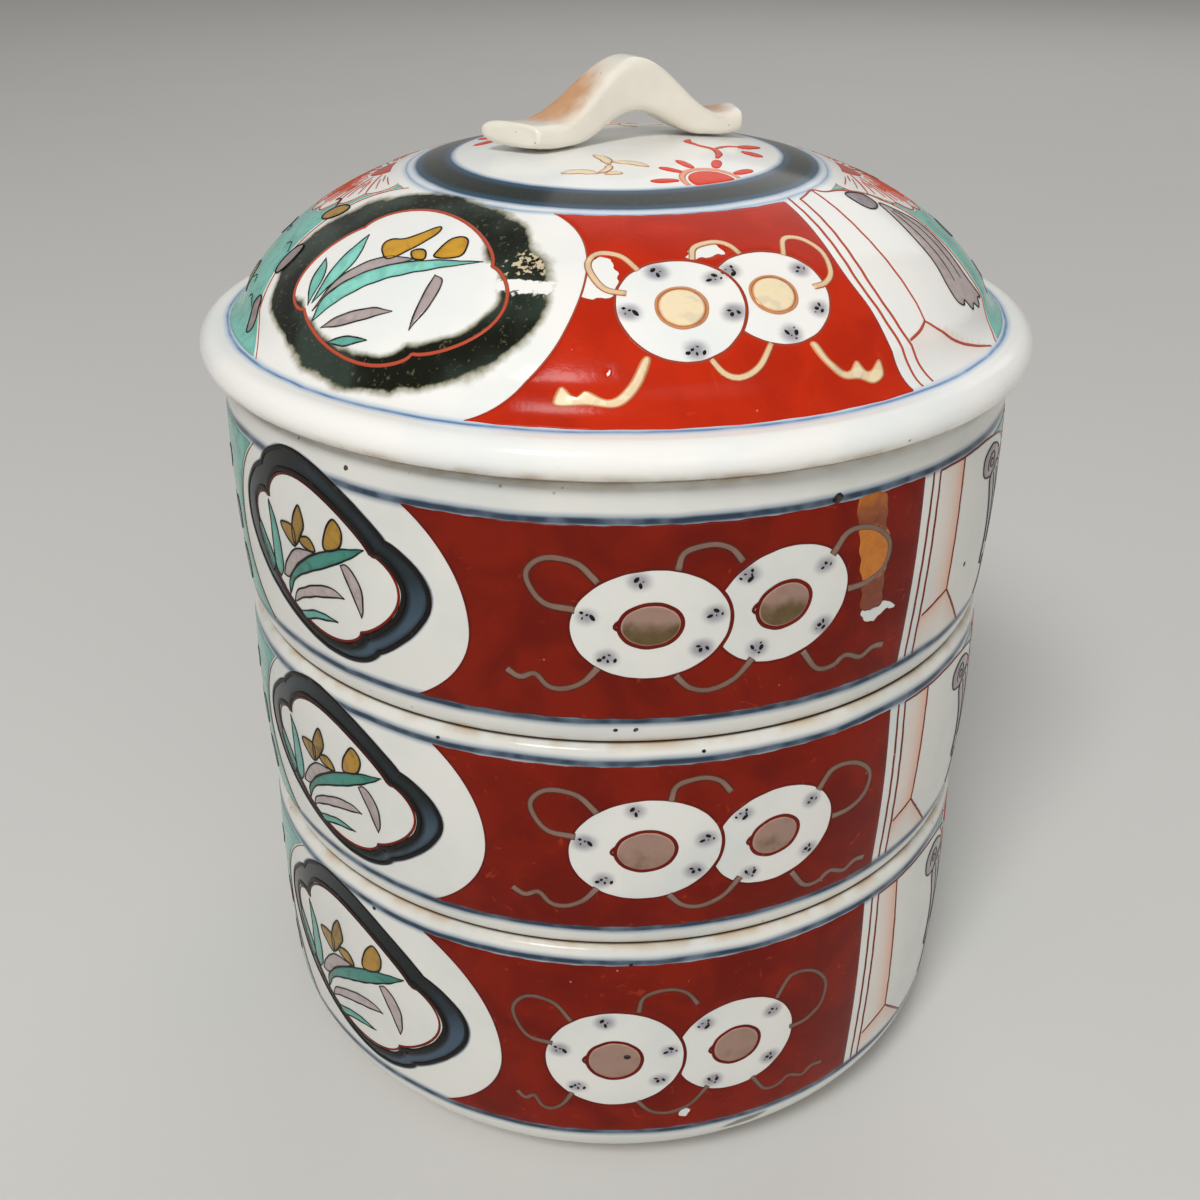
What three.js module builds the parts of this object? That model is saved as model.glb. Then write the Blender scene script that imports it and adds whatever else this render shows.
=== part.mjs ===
// A round porcelain food box: three stacked tiers and a domed lid with an arched strap handle.
// Each tier is one thrown vessel. A ring under it drops inside the lip of the tier below,
// and its shoulder rests on that lip. The lid seats on the top tier in the same way.
// Millimetres, +Z up, origin at the centre of the foot ring's underside.
import * as THREE from 'three';

// Tiers
const TIER_RADIUS = 75; // outside of every tier at its lip
const WALL_THICKNESS = 4.5;
const WALL_SWELL = 0.6; // how far a wall bows out between its base and its lip
const LIP_ROUNDING = 2; // outer edge of the lip
const SEAT_WIDTH = 1.4; // ring of shoulder that rests on the lip below
const FLOOR_THICKNESS = 5;
const INNER_CORNER_RADIUS = 8;
const LOWER_TIER_HEIGHT = 57; // from the turn of the base to the lip
const MIDDLE_TIER_HEIGHT = 43.7; // from shoulder to lip
const UPPER_TIER_HEIGHT = 47; // from shoulder to lip
const SHOULDER_CORNER_HEIGHT = 6.5; // rounded lower edge of the middle and upper tiers
const BASE_CORNER_RADIUS = 10.5; // rounded lower edge of the lower tier

// Rings that drop inside the lip below
const NESTING_DEPTH = 3.5;
const NESTING_CLEARANCE = 0.8;
const NESTING_RING_WIDTH = 4.5;

// Foot ring that the box stands on
const FOOT_HEIGHT = 4;
const FOOT_WIDTH = 5;
const FOOT_INSET = 1.5; // from the turn of the base to the foot

// Lid, with heights counted from the lip that it rests on
const DOME_HEIGHT = 37.2;
const DOME_THICKNESS = 5;
const DOME_INSET = 1.5; // how much smaller than a tier the dome is at its base
const DOME_BASE_HEIGHT = 0.9; // where the dome's curve would stand upright
const DOME_FLATNESS = 2.5; // 2 gives a plain ellipse, more gives a flatter crown
const DOME_SIDE_POWER = 0.56; // 0.5 gives a plain ellipse, more gives straighter sides
const BRIM_OVERHANG = 3.7;
const BRIM_THICKNESS = 6.7;
const BRIM_LIFT = 0.9; // underside of the brim's edge
const BRIM_FILLET = 6; // hollow where the dome turns out into the brim

// Handle, luted across the top of the dome
const HANDLE_LENGTH = 49;
const HANDLE_WAIST_WIDTH = 9; // at the crest
const HANDLE_END_WIDTH = 12.5;
const HANDLE_THICKNESS = 4.2; // at the feet
const HANDLE_RISE = 14.1; // top of the crest above the dome
const HANDLE_OPENING = 4.6; // clear height under the crest
const HANDLE_ARCH_HALF_SPAN = 12; // from the crest to where the underside lands
const HANDLE_SLOPE_RUN = 6.5; // how much further out the top of the arch lands
const HANDLE_END_RUN = 7; // length of each upturned end
const HANDLE_END_LIFT = 1.2;
const HANDLE_END_SKEW = 5; // how much further its back edge runs than its front edge
const HANDLE_OFFSET = 2.3; // the crest stands this far off the axis, along the handle
const HANDLE_TURN = THREE.MathUtils.degToRad(30); // from the X axis
const HANDLE_JOINT = 0.3; // slip between the feet and the dome

// Fineness of the curves
const TURN_SEGMENTS = 48;
const CORNER_STEPS = 6;
const LIP_STEPS = 3;
const WALL_STEPS = 5;
const DOME_STEPS = 11;
const INNER_DOME_STEPS = 7;
const BRIM_STEPS = 6;
const FILLET_STEPS = 3;
const HANDLE_STEPS = 30;
const HANDLE_SIDES = 14;

// Sizes that follow from those above
const boreRadius = TIER_RADIUS - WALL_THICKNESS;
const nestingRadius = boreRadius - NESTING_CLEARANCE;
const nestingBore = nestingRadius - NESTING_RING_WIDTH;
const baseRadius = TIER_RADIUS - BASE_CORNER_RADIUS;
const footRadius = baseRadius - FOOT_INSET;
const domeRadius = TIER_RADIUS - DOME_INSET;
const domeCrown = DOME_HEIGHT - DOME_BASE_HEIGHT;
const brimTop = BRIM_LIFT + BRIM_THICKNESS;
const brimCentre = TIER_RADIUS + BRIM_OVERHANG - BRIM_THICKNESS / 2;

const lowerSeat = FOOT_HEIGHT;
const middleSeat = lowerSeat + LOWER_TIER_HEIGHT;
const upperSeat = middleSeat + MIDDLE_TIER_HEIGHT;
const lidSeat = upperSeat + UPPER_TIER_HEIGHT;

// Points on an ellipse from one angle to another, both ends included.
function arc(centreR, centreZ, radiusR, radiusZ, from, to, steps) {
  return Array.from({ length: steps + 1 }, (_, i) => {
    const angle = from + ((to - from) * i) / steps;
    return new THREE.Vector2(centreR + radiusR * Math.cos(angle), centreZ + radiusZ * Math.sin(angle));
  });
}

function point(r, z) {
  return new THREE.Vector2(r, z);
}

// A solid of revolution about Z. The profile runs from the axis underneath to the axis on top.
function turned(profile) {
  return new THREE.LatheGeometry(profile, TURN_SEGMENTS).rotateX(Math.PI / 2);
}

// One tier, with its shoulder at height 0 and its ring below that.
function tierGeometry({ height, ringRadius, ringBore, ringDepth, cornerWidth, cornerHeight }) {
  const cornerStart = TIER_RADIUS - cornerWidth;
  const wallTop = height - LIP_ROUNDING;
  const innerCorner = Math.min(INNER_CORNER_RADIUS, height - FLOOR_THICKNESS);
  const ring = [
    point(0, 0),
    point(ringBore, 0),
    point(ringBore, -ringDepth),
    point(ringRadius, -ringDepth),
    point(ringRadius, 0),
  ];
  const corner = arc(cornerStart, cornerHeight, cornerWidth, cornerHeight, -Math.PI / 2, 0, CORNER_STEPS);
  const wall = Array.from({ length: WALL_STEPS - 1 }, (_, i) => {
    const t = (i + 1) / WALL_STEPS;
    return point(
      TIER_RADIUS + WALL_SWELL * Math.sin(Math.PI * t),
      THREE.MathUtils.lerp(cornerHeight, wallTop, t),
    );
  });
  const lip = arc(TIER_RADIUS - LIP_ROUNDING, wallTop, LIP_ROUNDING, LIP_ROUNDING, 0, Math.PI / 2, LIP_STEPS);
  const inside = [
    point(boreRadius, height),
    ...arc(
      boreRadius - innerCorner,
      FLOOR_THICKNESS + innerCorner,
      innerCorner,
      innerCorner,
      0,
      -Math.PI / 2,
      CORNER_STEPS,
    ),
    point(0, FLOOR_THICKNESS),
  ];
  return turned([...ring, ...corner, ...wall, ...lip, ...inside]);
}

// Height of the dome's outside at a distance from the axis.
function domeSurface(r) {
  return DOME_BASE_HEIGHT + domeCrown * (1 - (Math.abs(r) / domeRadius) ** DOME_FLATNESS) ** DOME_SIDE_POWER;
}

// Distance from the axis at which the dome's outside has a height.
function domeReach(z) {
  const share = (z - DOME_BASE_HEIGHT) / domeCrown;
  return domeRadius * (1 - share ** (1 / DOME_SIDE_POWER)) ** (1 / DOME_FLATNESS);
}

// The lid, with the lip that it rests on at height 0.
function lidGeometry() {
  const filletTop = brimTop + BRIM_FILLET;
  const domeFoot = domeReach(filletTop);
  const brimStart = domeFoot + Math.min(BRIM_FILLET, brimCentre - domeFoot);
  const fillet = new THREE.QuadraticBezierCurve(
    point(brimStart, brimTop),
    point(domeFoot + (brimStart - domeFoot) / 3, brimTop),
    point(domeFoot, filletTop),
  );
  const dome = Array.from({ length: DOME_STEPS }, (_, i) => {
    const r = domeFoot * Math.cos(((i + 1) / DOME_STEPS) * (Math.PI / 2));
    return i + 1 < DOME_STEPS ? point(r, domeSurface(r)) : point(0, DOME_HEIGHT);
  });
  return turned([
    ...arc(
      0,
      DOME_BASE_HEIGHT,
      nestingBore,
      domeCrown - DOME_THICKNESS,
      Math.PI / 2,
      0,
      INNER_DOME_STEPS,
    ),
    point(nestingBore, -NESTING_DEPTH),
    point(nestingRadius, -NESTING_DEPTH),
    point(nestingRadius, 0),
    point(TIER_RADIUS - LIP_ROUNDING, 0),
    ...arc(
      brimCentre,
      BRIM_LIFT + BRIM_THICKNESS / 2,
      BRIM_THICKNESS / 2,
      BRIM_THICKNESS / 2,
      -Math.PI / 2,
      Math.PI / 2,
      BRIM_STEPS,
    ),
    ...fillet.getPoints(FILLET_STEPS),
    ...dome,
  ]);
}

// A smooth bump of height 1 at 0 that runs out at the given half width.
function bump(s, halfWidth) {
  return Math.abs(s) < halfWidth ? (1 + Math.cos((Math.PI * s) / halfWidth)) / 2 : 0;
}

// The handle: rounded sections along its length, on the dome's surface and over the arch.
function handleGeometry() {
  const halfLength = HANDLE_LENGTH / 2;
  const archTopSpan = HANDLE_ARCH_HALF_SPAN + HANDLE_SLOPE_RUN;
  const squareness = 0.62; // exponent that makes an oval section nearly rectangular
  const positions = [];
  const triangles = [];

  for (let i = 0; i <= HANDLE_STEPS; i++) {
    const s = -halfLength + (HANDLE_LENGTH * i) / HANDLE_STEPS;
    const along = s + HANDLE_OFFSET;
    const ground = domeSurface(along) + HANDLE_JOINT;
    const intoEnd = Math.max(0, Math.abs(s) - halfLength + HANDLE_END_RUN) / HANDLE_END_RUN;
    const endLift = HANDLE_END_LIFT * intoEnd ** 2;
    const under = ground + HANDLE_OPENING * bump(s, HANDLE_ARCH_HALF_SPAN) + endLift;
    const top = ground + HANDLE_THICKNESS + endLift
      + (HANDLE_RISE - HANDLE_JOINT - HANDLE_THICKNESS) * bump(s, archTopSpan);
    const width = THREE.MathUtils.lerp(HANDLE_END_WIDTH, HANDLE_WAIST_WIDTH, bump(s, halfLength));
    for (let j = 0; j < HANDLE_SIDES; j++) {
      const angle = (2 * Math.PI * j) / HANDLE_SIDES;
      const across = Math.sign(Math.cos(angle)) * Math.abs(Math.cos(angle)) ** squareness;
      const up = Math.sign(Math.sin(angle)) * Math.abs(Math.sin(angle)) ** squareness;
      const skewed = along + (HANDLE_END_SKEW / 2) * across * (s / halfLength) ** 2 * Math.sign(s);
      positions.push(skewed, (width / 2) * across, (top + under) / 2 + ((top - under) / 2) * up);
    }
  }

  for (let i = 0; i < HANDLE_STEPS; i++) {
    for (let j = 0; j < HANDLE_SIDES; j++) {
      const a = i * HANDLE_SIDES + j;
      const b = i * HANDLE_SIDES + ((j + 1) % HANDLE_SIDES);
      triangles.push(a, b, a + HANDLE_SIDES, b, b + HANDLE_SIDES, a + HANDLE_SIDES);
    }
  }
  const last = HANDLE_STEPS * HANDLE_SIDES;
  for (let j = 1; j < HANDLE_SIDES - 1; j++) {
    triangles.push(0, j + 1, j, last, last + j, last + j + 1);
  }

  const geometry = new THREE.BufferGeometry();
  geometry.setAttribute('position', new THREE.Float32BufferAttribute(positions, 3));
  geometry.setIndex(triangles);
  geometry.computeVertexNormals();
  return geometry;
}

// White glazed porcelain, each piece with its own tint.
function piece(name, geometry, color) {
  const material = new THREE.MeshStandardMaterial({ color, roughness: 0.12, metalness: 0 });
  const mesh = new THREE.Mesh(geometry, material);
  mesh.name = name;
  return mesh;
}

const stackedShape = {
  ringRadius: nestingRadius,
  ringBore: nestingBore,
  ringDepth: NESTING_DEPTH,
  cornerWidth: WALL_THICKNESS - SEAT_WIDTH,
  cornerHeight: SHOULDER_CORNER_HEIGHT,
};
const lowerShape = {
  ringRadius: footRadius,
  ringBore: footRadius - FOOT_WIDTH,
  ringDepth: FOOT_HEIGHT,
  cornerWidth: BASE_CORNER_RADIUS,
  cornerHeight: BASE_CORNER_RADIUS,
};

const lowerTier = piece('lower_tier', tierGeometry({ ...lowerShape, height: LOWER_TIER_HEIGHT }), 0xd9d6cc);
lowerTier.position.z = lowerSeat;

const middleTier = piece('middle_tier', tierGeometry({ ...stackedShape, height: MIDDLE_TIER_HEIGHT }), 0xdcdad2);
middleTier.position.z = middleSeat;

const upperTier = piece('upper_tier', tierGeometry({ ...stackedShape, height: UPPER_TIER_HEIGHT }), 0xe0ded8);
upperTier.position.z = upperSeat;

const lid = piece('lid', lidGeometry(), 0xf1efea);
const handle = piece('lid_handle', handleGeometry(), 0xe9ddca);
handle.rotation.z = HANDLE_TURN;
const lidGroup = new THREE.Group();
lidGroup.position.z = lidSeat;
lidGroup.add(lid, handle);

const foodBox = new THREE.Group();
foodBox.add(lowerTier, middleTier, upperTier, lidGroup);

export default foodBox;
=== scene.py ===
"""A round three-tier porcelain food box with a domed lid, shaped and painted piece by piece."""

import math
from dataclasses import dataclass
from functools import partial

import bpy
import numpy as np
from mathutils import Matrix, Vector
from mathutils.geometry import delaunay_2d_cdt


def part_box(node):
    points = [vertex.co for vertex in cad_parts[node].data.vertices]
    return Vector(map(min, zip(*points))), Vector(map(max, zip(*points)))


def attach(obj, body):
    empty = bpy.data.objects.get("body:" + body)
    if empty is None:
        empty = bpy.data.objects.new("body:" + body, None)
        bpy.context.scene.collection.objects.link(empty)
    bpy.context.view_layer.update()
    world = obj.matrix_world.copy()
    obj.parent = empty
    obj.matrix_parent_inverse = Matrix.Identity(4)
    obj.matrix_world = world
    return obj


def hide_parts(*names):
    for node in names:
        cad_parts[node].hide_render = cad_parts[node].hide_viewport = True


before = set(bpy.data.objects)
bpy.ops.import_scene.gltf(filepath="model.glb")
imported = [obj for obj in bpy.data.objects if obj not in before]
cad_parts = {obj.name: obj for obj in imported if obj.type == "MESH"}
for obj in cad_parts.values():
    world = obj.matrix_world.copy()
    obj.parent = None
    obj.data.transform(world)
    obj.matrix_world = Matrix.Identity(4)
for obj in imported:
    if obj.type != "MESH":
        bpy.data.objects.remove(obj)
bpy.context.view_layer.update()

bl_info = {
    "name": "Porcelain Food Box",
    "version": (1, 0, 0),
    "blender": (4, 5, 0),
    "location": "View3D > Sidebar > Food Box",
    "description": "Builds a painted three-tier porcelain food box around its CAD frame",
    "category": "Object",
}

# Shapes are worked in millimetres and become metres when a mesh is made
MM = 0.001

# The camera that took the photograph, as fitted to the rims
CAMERA_PLACE = (-2.97, -261.57, 232.63)
CAMERA_TILT_DOWN = 28.218
CAMERA_LENS = 40.915
SENSOR_WIDTH = 36.0

# Turned pieces: steps round the axis, and rows along the sections
TURN_STEPS = 576
TIER_ROW_STEP = 0.75
LID_ROW_STEP = 0.9

# Rounding of the turned edges, and rows that only hold a section's straight stretches
UNDERCUT = 1.4
RING_EDGE = 0.7
RING_ROOT = 0.4
BORE_EDGE = 0.9
BORE_ROW = 6.0
FLOOR_ROW = 20.0
SEAT_FLAT = 0.6

# The lid's nesting ring: depth under the seat, play inside the lip, and wall
LID_RING_DEPTH = 3.5
LID_RING_PLAY = 0.8
LID_RING_WALL = 4.5

# Radius at which heights along the dome count from zero
FOOT_LINE_RADIUS = 72.8

# Bare clay: how far up a ring it reaches, and how near a level face a row counts as on it
RING_BARE = 0.9
LEVEL = 0.06

# A painted mark far from any edge
FAR = 50.0

# Enamel coats, as heights over the glaze
EDGE_LIFT = 0.03
SINK = 0.07
RIM_WIDTH = 0.32
COAT = 0.07
RED_COAT = 0.06
TEAL_COAT = 0.08
LINE_COAT = 0.04
OVER_RED = RED_COAT + 0.01

# Steps along the edges of the coats, and the share of a brush line that narrows at each end
EDGE_STEP = 0.6
LEAST_STEP = 0.3
TAPER = 0.25

# Least length of a direction, and how many points are measured at once
TINY = 1e-9
BATCH = 4000

# Steps along one stretch of a smooth line and over one lobe of a frame
CURVE_STEPS = 16
LOBE_STEPS = 24


def linear(code):
    """Linear red, green and blue of an sRGB hex code."""
    parts = [int(code[i:i + 2], 16) / 255 for i in (1, 3, 5)]
    return tuple(p / 12.92 if p <= 0.04045 else ((p + 0.055) / 1.055) ** 2.4 for p in parts)


def length(name, description, default):
    """A length a user may change, given in millimetres."""
    return bpy.props.FloatProperty(
        name=name, description=description, default=default * MM, min=0.0,
        precision=5, subtype="DISTANCE", unit="LENGTH")


def colour(name, description, code):
    """A colour a user may change, given as sRGB hex."""
    return bpy.props.FloatVectorProperty(
        name=name, description=description, default=linear(code), size=3,
        min=0.0, max=1.0, subtype="COLOR")


class FoodBoxSizes(bpy.types.PropertyGroup):
    """Sizes of the turned pieces, the handle and the brush lines."""

    tier_radius: length("Tier radius", "Outside radius of a tier at its lip", 75.0)
    wall: length("Wall", "Thickness of a tier's wall", 4.5)
    swell: length("Wall swell", "How far a wall bulges at half height", 0.6)
    lip: length("Lip rounding", "Radius of a tier's rounded lip", 2.0)
    floor: length("Floor", "Thickness of a tier's floor", 5.0)
    inner_corner: length("Inner corner", "Radius between a tier's wall and floor", 8.0)
    dome_height: length("Dome height", "Height of the crown over the lid's seat", 37.2)
    dome_inset: length("Dome inset", "How far the dome's foot stands in from the tiers", 1.5)
    dome_thickness: length("Dome thickness", "Thickness of the dome", 5.0)
    brim_overhang: length("Brim overhang", "How far the lid's brim stands past the tiers", 3.7)
    brim_thickness: length("Brim thickness", "Thickness of the rounded brim", 6.7)
    handle_length: length("Handle length", "Length of the strap handle", 49.0)
    handle_width: length("Handle waist", "Width of the strap at its arch", 9.0)
    handle_ends: length("Handle ends", "Width of the strap at its ends", 12.5)
    handle_thickness: length("Handle thickness", "Thickness of the strap", 4.2)
    outline_width: length("Outline width", "Width of the black outlines", 0.3)
    gilding_width: length("Gilding width", "Width of the gilded scrolls", 1.3)


class FoodBoxColours(bpy.types.PropertyGroup):
    """Colours of the glazes and enamels."""

    # The tiers' white is set darker, as painted shade, and the lid's whiter, as painted light; both
    # are one porcelain
    porcelain: colour("Porcelain", "White body of the tiers under clear glaze", "#d9d8d1")
    lid_porcelain: colour("Lid porcelain", "Whiter body of the lid", "#f2f0ea")
    cobalt: colour("Cobalt", "Blue painted under the glaze", "#2b3a49")
    slate: colour("Slate", "Blue wash of the medallion frames", "#3d4f5e")
    biscuit: colour("Biscuit", "Tan film of old dirt beside the seams", "#b89a70")
    # The tiers' red is set darker, as painted shade, and the lid's brighter, as painted light; both
    # are one iron red
    red: colour("Iron red", "Red enamel of the tiers' grounds", "#7a1b0b")
    lid_red: colour("Lid red", "Brighter red enamel of the lid's ground", "#c22d11")
    # The lid's pale gilding is partly a painted highlight
    gold: colour("Gold", "Pale gilding of the lid", "#f6e9cc")
    film: colour("Gold film", "What is left of the tiers' gilding", "#97796a")
    green: colour("Green", "Translucent green enamel", "#1d7263")
    aubergine: colour("Aubergine", "Translucent purple-grey enamel", "#74676b")
    ochre: colour("Ochre", "Translucent ochre enamel", "#876820")
    amber: colour("Amber", "Dried varnish that ran over a scroll", "#cf7d12")
    black: colour("Black", "Outlines drawn with a fine brush", "#171311")
    tan: colour("Tan", "Wash brushed on the handle", "#d9a066")
    floor: colour("Floor", "Plain studio floor", "#d9d7d3")


def size(name):
    """One of the user's lengths, in millimetres."""
    return getattr(bpy.context.scene.food_box_sizes, name) / MM


def paint(name):
    """One of the user's colours, as red, green, blue and alpha."""
    return (*getattr(bpy.context.scene.food_box_colours, name), 1.0)


@dataclass(frozen=True)
class Fit:
    """How a drawing made for the upper tier is scaled and moved on another body."""

    scale: tuple = (1.0, 1.0)
    shift: tuple = (0.0, 0.0)

    def __call__(self, points):
        """The drawing's points on the other body."""
        return np.multiply(points, self.scale) + self.shift


@dataclass(frozen=True)
class TierShape:
    """What differs from one tier's section to the next."""

    corner_width: float
    corner_height: float
    ring_radius: float
    ring_bore: float
    ring_depth: float


TIER_SHAPES = {
    "lower_tier": TierShape(10.5, 10.5, 63.0, 58.0, 4.0),
    "middle_tier": TierShape(2.5, 6.0, 69.7, 65.2, 3.5),
    "upper_tier": TierShape(2.5, 6.0, 69.7, 65.2, 3.5),
}


@dataclass(frozen=True)
class Roundel:
    """A white ring-flower: angle and height, half sizes, tilt, and its scrolls' reach each way."""

    centre: tuple
    half: tuple
    tilt: float
    scroll: tuple


@dataclass(frozen=True)
class Layout:
    """Where one body carries its painting: angles from the front, heights over its seat."""

    low_line: float
    high_line: float
    red: tuple
    frame_at: tuple
    outside: Fit
    inside: Fit
    oval_at: tuple
    oval_half: tuple
    left_roundel: Roundel
    right_roundel: Roundel
    red_end: tuple
    lines: tuple
    fold: tuple
    branches: tuple
    flower: tuple
    tail: float = 0.92
    scroll_width: float = 0.9
    lid: bool = False

    @property
    def spacing(self):
        """Distance between the points that fill a ground of red or green."""
        return 1.0 if self.lid else 2.0


LAYOUTS = {
    "upper_tier": Layout(
        5.3, 41.2, (5.8, 40.6), (-42.9, 25.3), Fit(), Fit(), (-41.7, 20.8), (30.8, 25.5, 19.7),
        Roundel((3.8, 23.4), (13.0, 9.9), 4.0, (12.6, 12.6, 9.6, 9.6)),
        Roundel((20.4, 24.8), (12.2, 10.2), 18.0, (11.5, 11.5, 10.3, 10.3)),
        ((41.8, 40.6), (41.4, 25.5), (40.7, 5.8)),
        (((43.7, 40.5), (42.2, 6.2)), ((45.2, 40.3), (43.9, 6.0))),
        ((51.4, 40.2), (50.7, 15.4)), (((44.8, 13.2),), ((56.8, 6.0),)), (-96.0, 16.0)),
    "middle_tier": Layout(
        4.95, 40.7, (5.4, 40.0), (-43.1, 25.0), Fit((1.04, 0.967), (-1.5, -0.9)),
        Fit((1.06, 0.983), (-1.3, -1.36)), (-41.7, 22.0), (31.8, 25.0, 21.7),
        Roundel((3.75, 22.7), (13.6, 10.8), 4.0, (12.8, 12.8, 10.2, 10.2)),
        Roundel((21.5, 22.2), (12.0, 10.1), 14.0, (11.5, 11.5, 10.4, 10.4)),
        ((40.4, 40.0), (40.3, 5.4)),
        (((42.2, 39.9), (41.9, 5.8)), ((43.7, 39.7), (43.5, 5.6))),
        ((49.6, 39.6), (48.3, 15.2)), (((44.0, 13.0),), ((54.4, 5.6),)), (-97.0, 16.0)),
    "lower_tier": Layout(
        9.95, 53.9, (10.5, 53.2), (-44.4, 33.2), Fit((1.17, 1.17), (-0.4, -0.8)),
        Fit((1.21, 1.193), (-0.5, -1.0)), (-43.0, 28.0), (34.7, 30.0, 22.3),
        Roundel((-0.15, 30.0), (13.4, 12.2), 4.0, (12.4, 13.6, 12.2, 11.4)),
        Roundel((17.8, 30.5), (12.3, 11.5), 12.0, (11.0, 11.0, 13.2, 11.0)),
        ((39.7, 53.2), (39.2, 10.5)),
        (((41.5, 53.1), (40.8, 10.9)), ((43.0, 52.9), (42.4, 10.7))),
        ((47.8, 52.8), (49.0, 18.4)), (((42.9, 16.2),), ((55.2, 10.8),)), (-98.0, 18.0), 0.68, 0.7),
    "lid": Layout(
        -0.6, 42.6, (0.0, 40.9), (-37.8, 22.4), Fit(), Fit(), (-37.8, 14.5), (33.5, 30.5, 21.0),
        Roundel((9.0, 19.6), (10.2, 9.5), 0.0, (8.5, 9.8, 9.3, 9.3)),
        Roundel((23.7, 20.6), (9.9, 9.1), 0.0, (7.2, 7.2, 10.6, 10.6)),
        ((42.3, 40.9), (38.5, 24.0), (38.8, 14.4), (39.0, 6.7), (40.1, 0.0)),
        (((44.4, 41.4), (40.3, 24.0), (40.0, 15.3), (42.0, 0.3)),
         ((47.4, 40.4), (42.6, 24.0), (41.9, 13.7), (44.3, 0.5))),
        ((55.3, 41.8), (50.6, 27.3), (48.2, 10.1)),
        (((46.3, 9.1), (43.2, 8.0)), ((54.0, 4.8), (63.0, 0.3))), (-90.0, 16.0), lid=True),
}

# The lid's dark ring round the crown, in plan: its middle, inner and outer radius and a blue line
RING_MIDDLE = (0.15, -2.65)
RING_INSIDE = 30.15
RING_OUTSIDE = 36.9
RING_LINE = 38.4

# Medallion frames in millimetres about their centre: each cusp and the crest of the lobe after it
TIER_FRAME = (
    (((-15.3, 13.2), (-1.3, 18.6)), ((17.8, 8.1), (26.0, -1.5)),
     ((14.2, -14.1), (3.0, -17.6)), ((-14.1, -11.1), (-24.3, 1.6))),
    (((-13.2, 7.8), (-2.5, 14.4)), ((14.7, 5.2), (20.4, -2.2)),
     ((10.9, -11.3), (1.5, -15.1)), ((-11.2, -9.7), (-19.6, 2.5))))

LID_FRAME = (
    (((-18.5, 14.2), (1.0, 19.5)), ((20.5, 7.4), (28.6, -6.0)),
     ((21.0, -15.5), (1.0, -20.5)), ((-19.5, -15.5), (-31.8, -4.5))),
    (((-15.5, 6.8), (-1.5, 15.0)), ((15.6, 4.2), (22.2, -6.0)),
     ((11.3, -13.2), (0.0, -16.3)), ((-15.5, -11.0), (-22.3, -6.0))))

# The plant in a medallion: leaves as one side from base to tip and the other between them,
# and petals as closed outlines
TIER_LEAVES = (
    ("green", 0.25, ((-14.8, -8.0), (-18.8, -2.0), (-18.5, 1.3)),
     ((-13.4, -5.1), (-16.7, -0.6))),
    ("green", 0.35, ((-11.7, -7.8), (-13.2, -5.7), (-13.1, 2.1), (-13.3, 6.6)),
     ((-10.3, -5.5), (-10.2, -1.3), (-11.2, 3.4))),
    ("aubergine", 0.75, ((-10.3, -6.8), (-9.0, -4.1), (-6.4, -1.0), (-4.0, 0.5), (0.5, 1.2)),
     ((-8.2, -6.4), (-5.0, -2.9), (-1.8, -0.5))),
    ("green", 0.1, ((-8.9, -10.3), (-8.5, -7.2), (-5.2, -3.3), (-0.6, 0.2), (4.2, 2.7),
                     (8.4, 4.3), (13.0, 5.4)),
     ((-6.4, -6.3), (-2.2, -3.5), (3.7, -0.5), (9.8, 3.0))),
    ("aubergine", 0.9, ((-7.7, -11.4), (-6.3, -8.6), (-1.7, -5.9), (2.2, -4.5), (5.3, -4.4),
                        (7.4, -5.3)),
     ((-4.9, -9.5), (0.0, -7.4), (6.3, -5.5))),
    ("green", 0.45, ((-5.7, -12.3), (-1.5, -10.7), (1.4, -10.3), (5.0, -10.7)),
     ((-4.6, -13.5), (-0.8, -12.0))),
    ("aubergine", 0.8, ((7.2, 0.9), (9.1, -2.9), (11.1, -7.8)),
     ((8.6, 1.5), (10.5, 0.0), (11.7, -2.7), (11.7, -5.8))),
)

TIER_PETALS = (
    ((-2.9, 8.9), (-5.2, 4.9), (-4.9, 0.9), (-2.7, 3.6), (-1.7, 6.0)),
    ((-9.0, 3.9), (-7.7, 1.8), (-5.0, 0.6), (-5.0, 4.3)),
    ((-3.3, 2.7), (-1.2, 3.7), (0.3, 3.0), (1.0, 1.5), (-0.9, 1.2), (-2.8, 1.7)),
    ((6.3, 9.1), (4.0, 6.0), (3.6, 2.8), (7.2, 4.1), (8.2, 7.2)),
)

LID_LEAVES = (
    ("green", 0.95, ((-15.2, -10.2), (-18.2, -6.2), (-18.6, -1.4)),
     ((-15.4, -5.4), (-16.4, -3.0))),
    ("green", 1.0, ((-14.4, -9.6), (-14.6, -1.7), (-12.6, 5.8)),
     ((-10.9, -2.2), (-10.8, 2.0))),
    ("aubergine", 1.0, ((-13.2, -10.8), (-11.6, -4.2), (-7.4, 0.8), (-3.0, 3.0), (1.6, 3.4)),
     ((-11.2, -6.7), (-6.8, -1.7))),
    ("green", 1.0, ((-12.0, -12.3), (-12.1, -7.6), (-7.4, -2.2), (-1.9, 1.4), (5.2, 3.9),
                    (13.6, 5.0)),
     ((-7.1, -6.4), (-1.4, -1.7), (6.5, 2.2))),
    ("aubergine", 1.0, ((-9.2, -12.8), (-5.7, -9.7), (-0.3, -7.2), (4.1, -6.9)),
     ((-5.2, -11.6), (0.0, -9.1))),
    ("green", 0.55, ((-6.2, -14.7), (-2.6, -12.8), (2.1, -12.5)),
     ((-2.2, -14.4),)),
    ("aubergine", 0.95, ((7.3, 1.0), (7.6, -1.2), (8.0, -4.9), (8.9, -9.6)),
     ((9.4, 0.0), (10.1, -4.4))),
)

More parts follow.
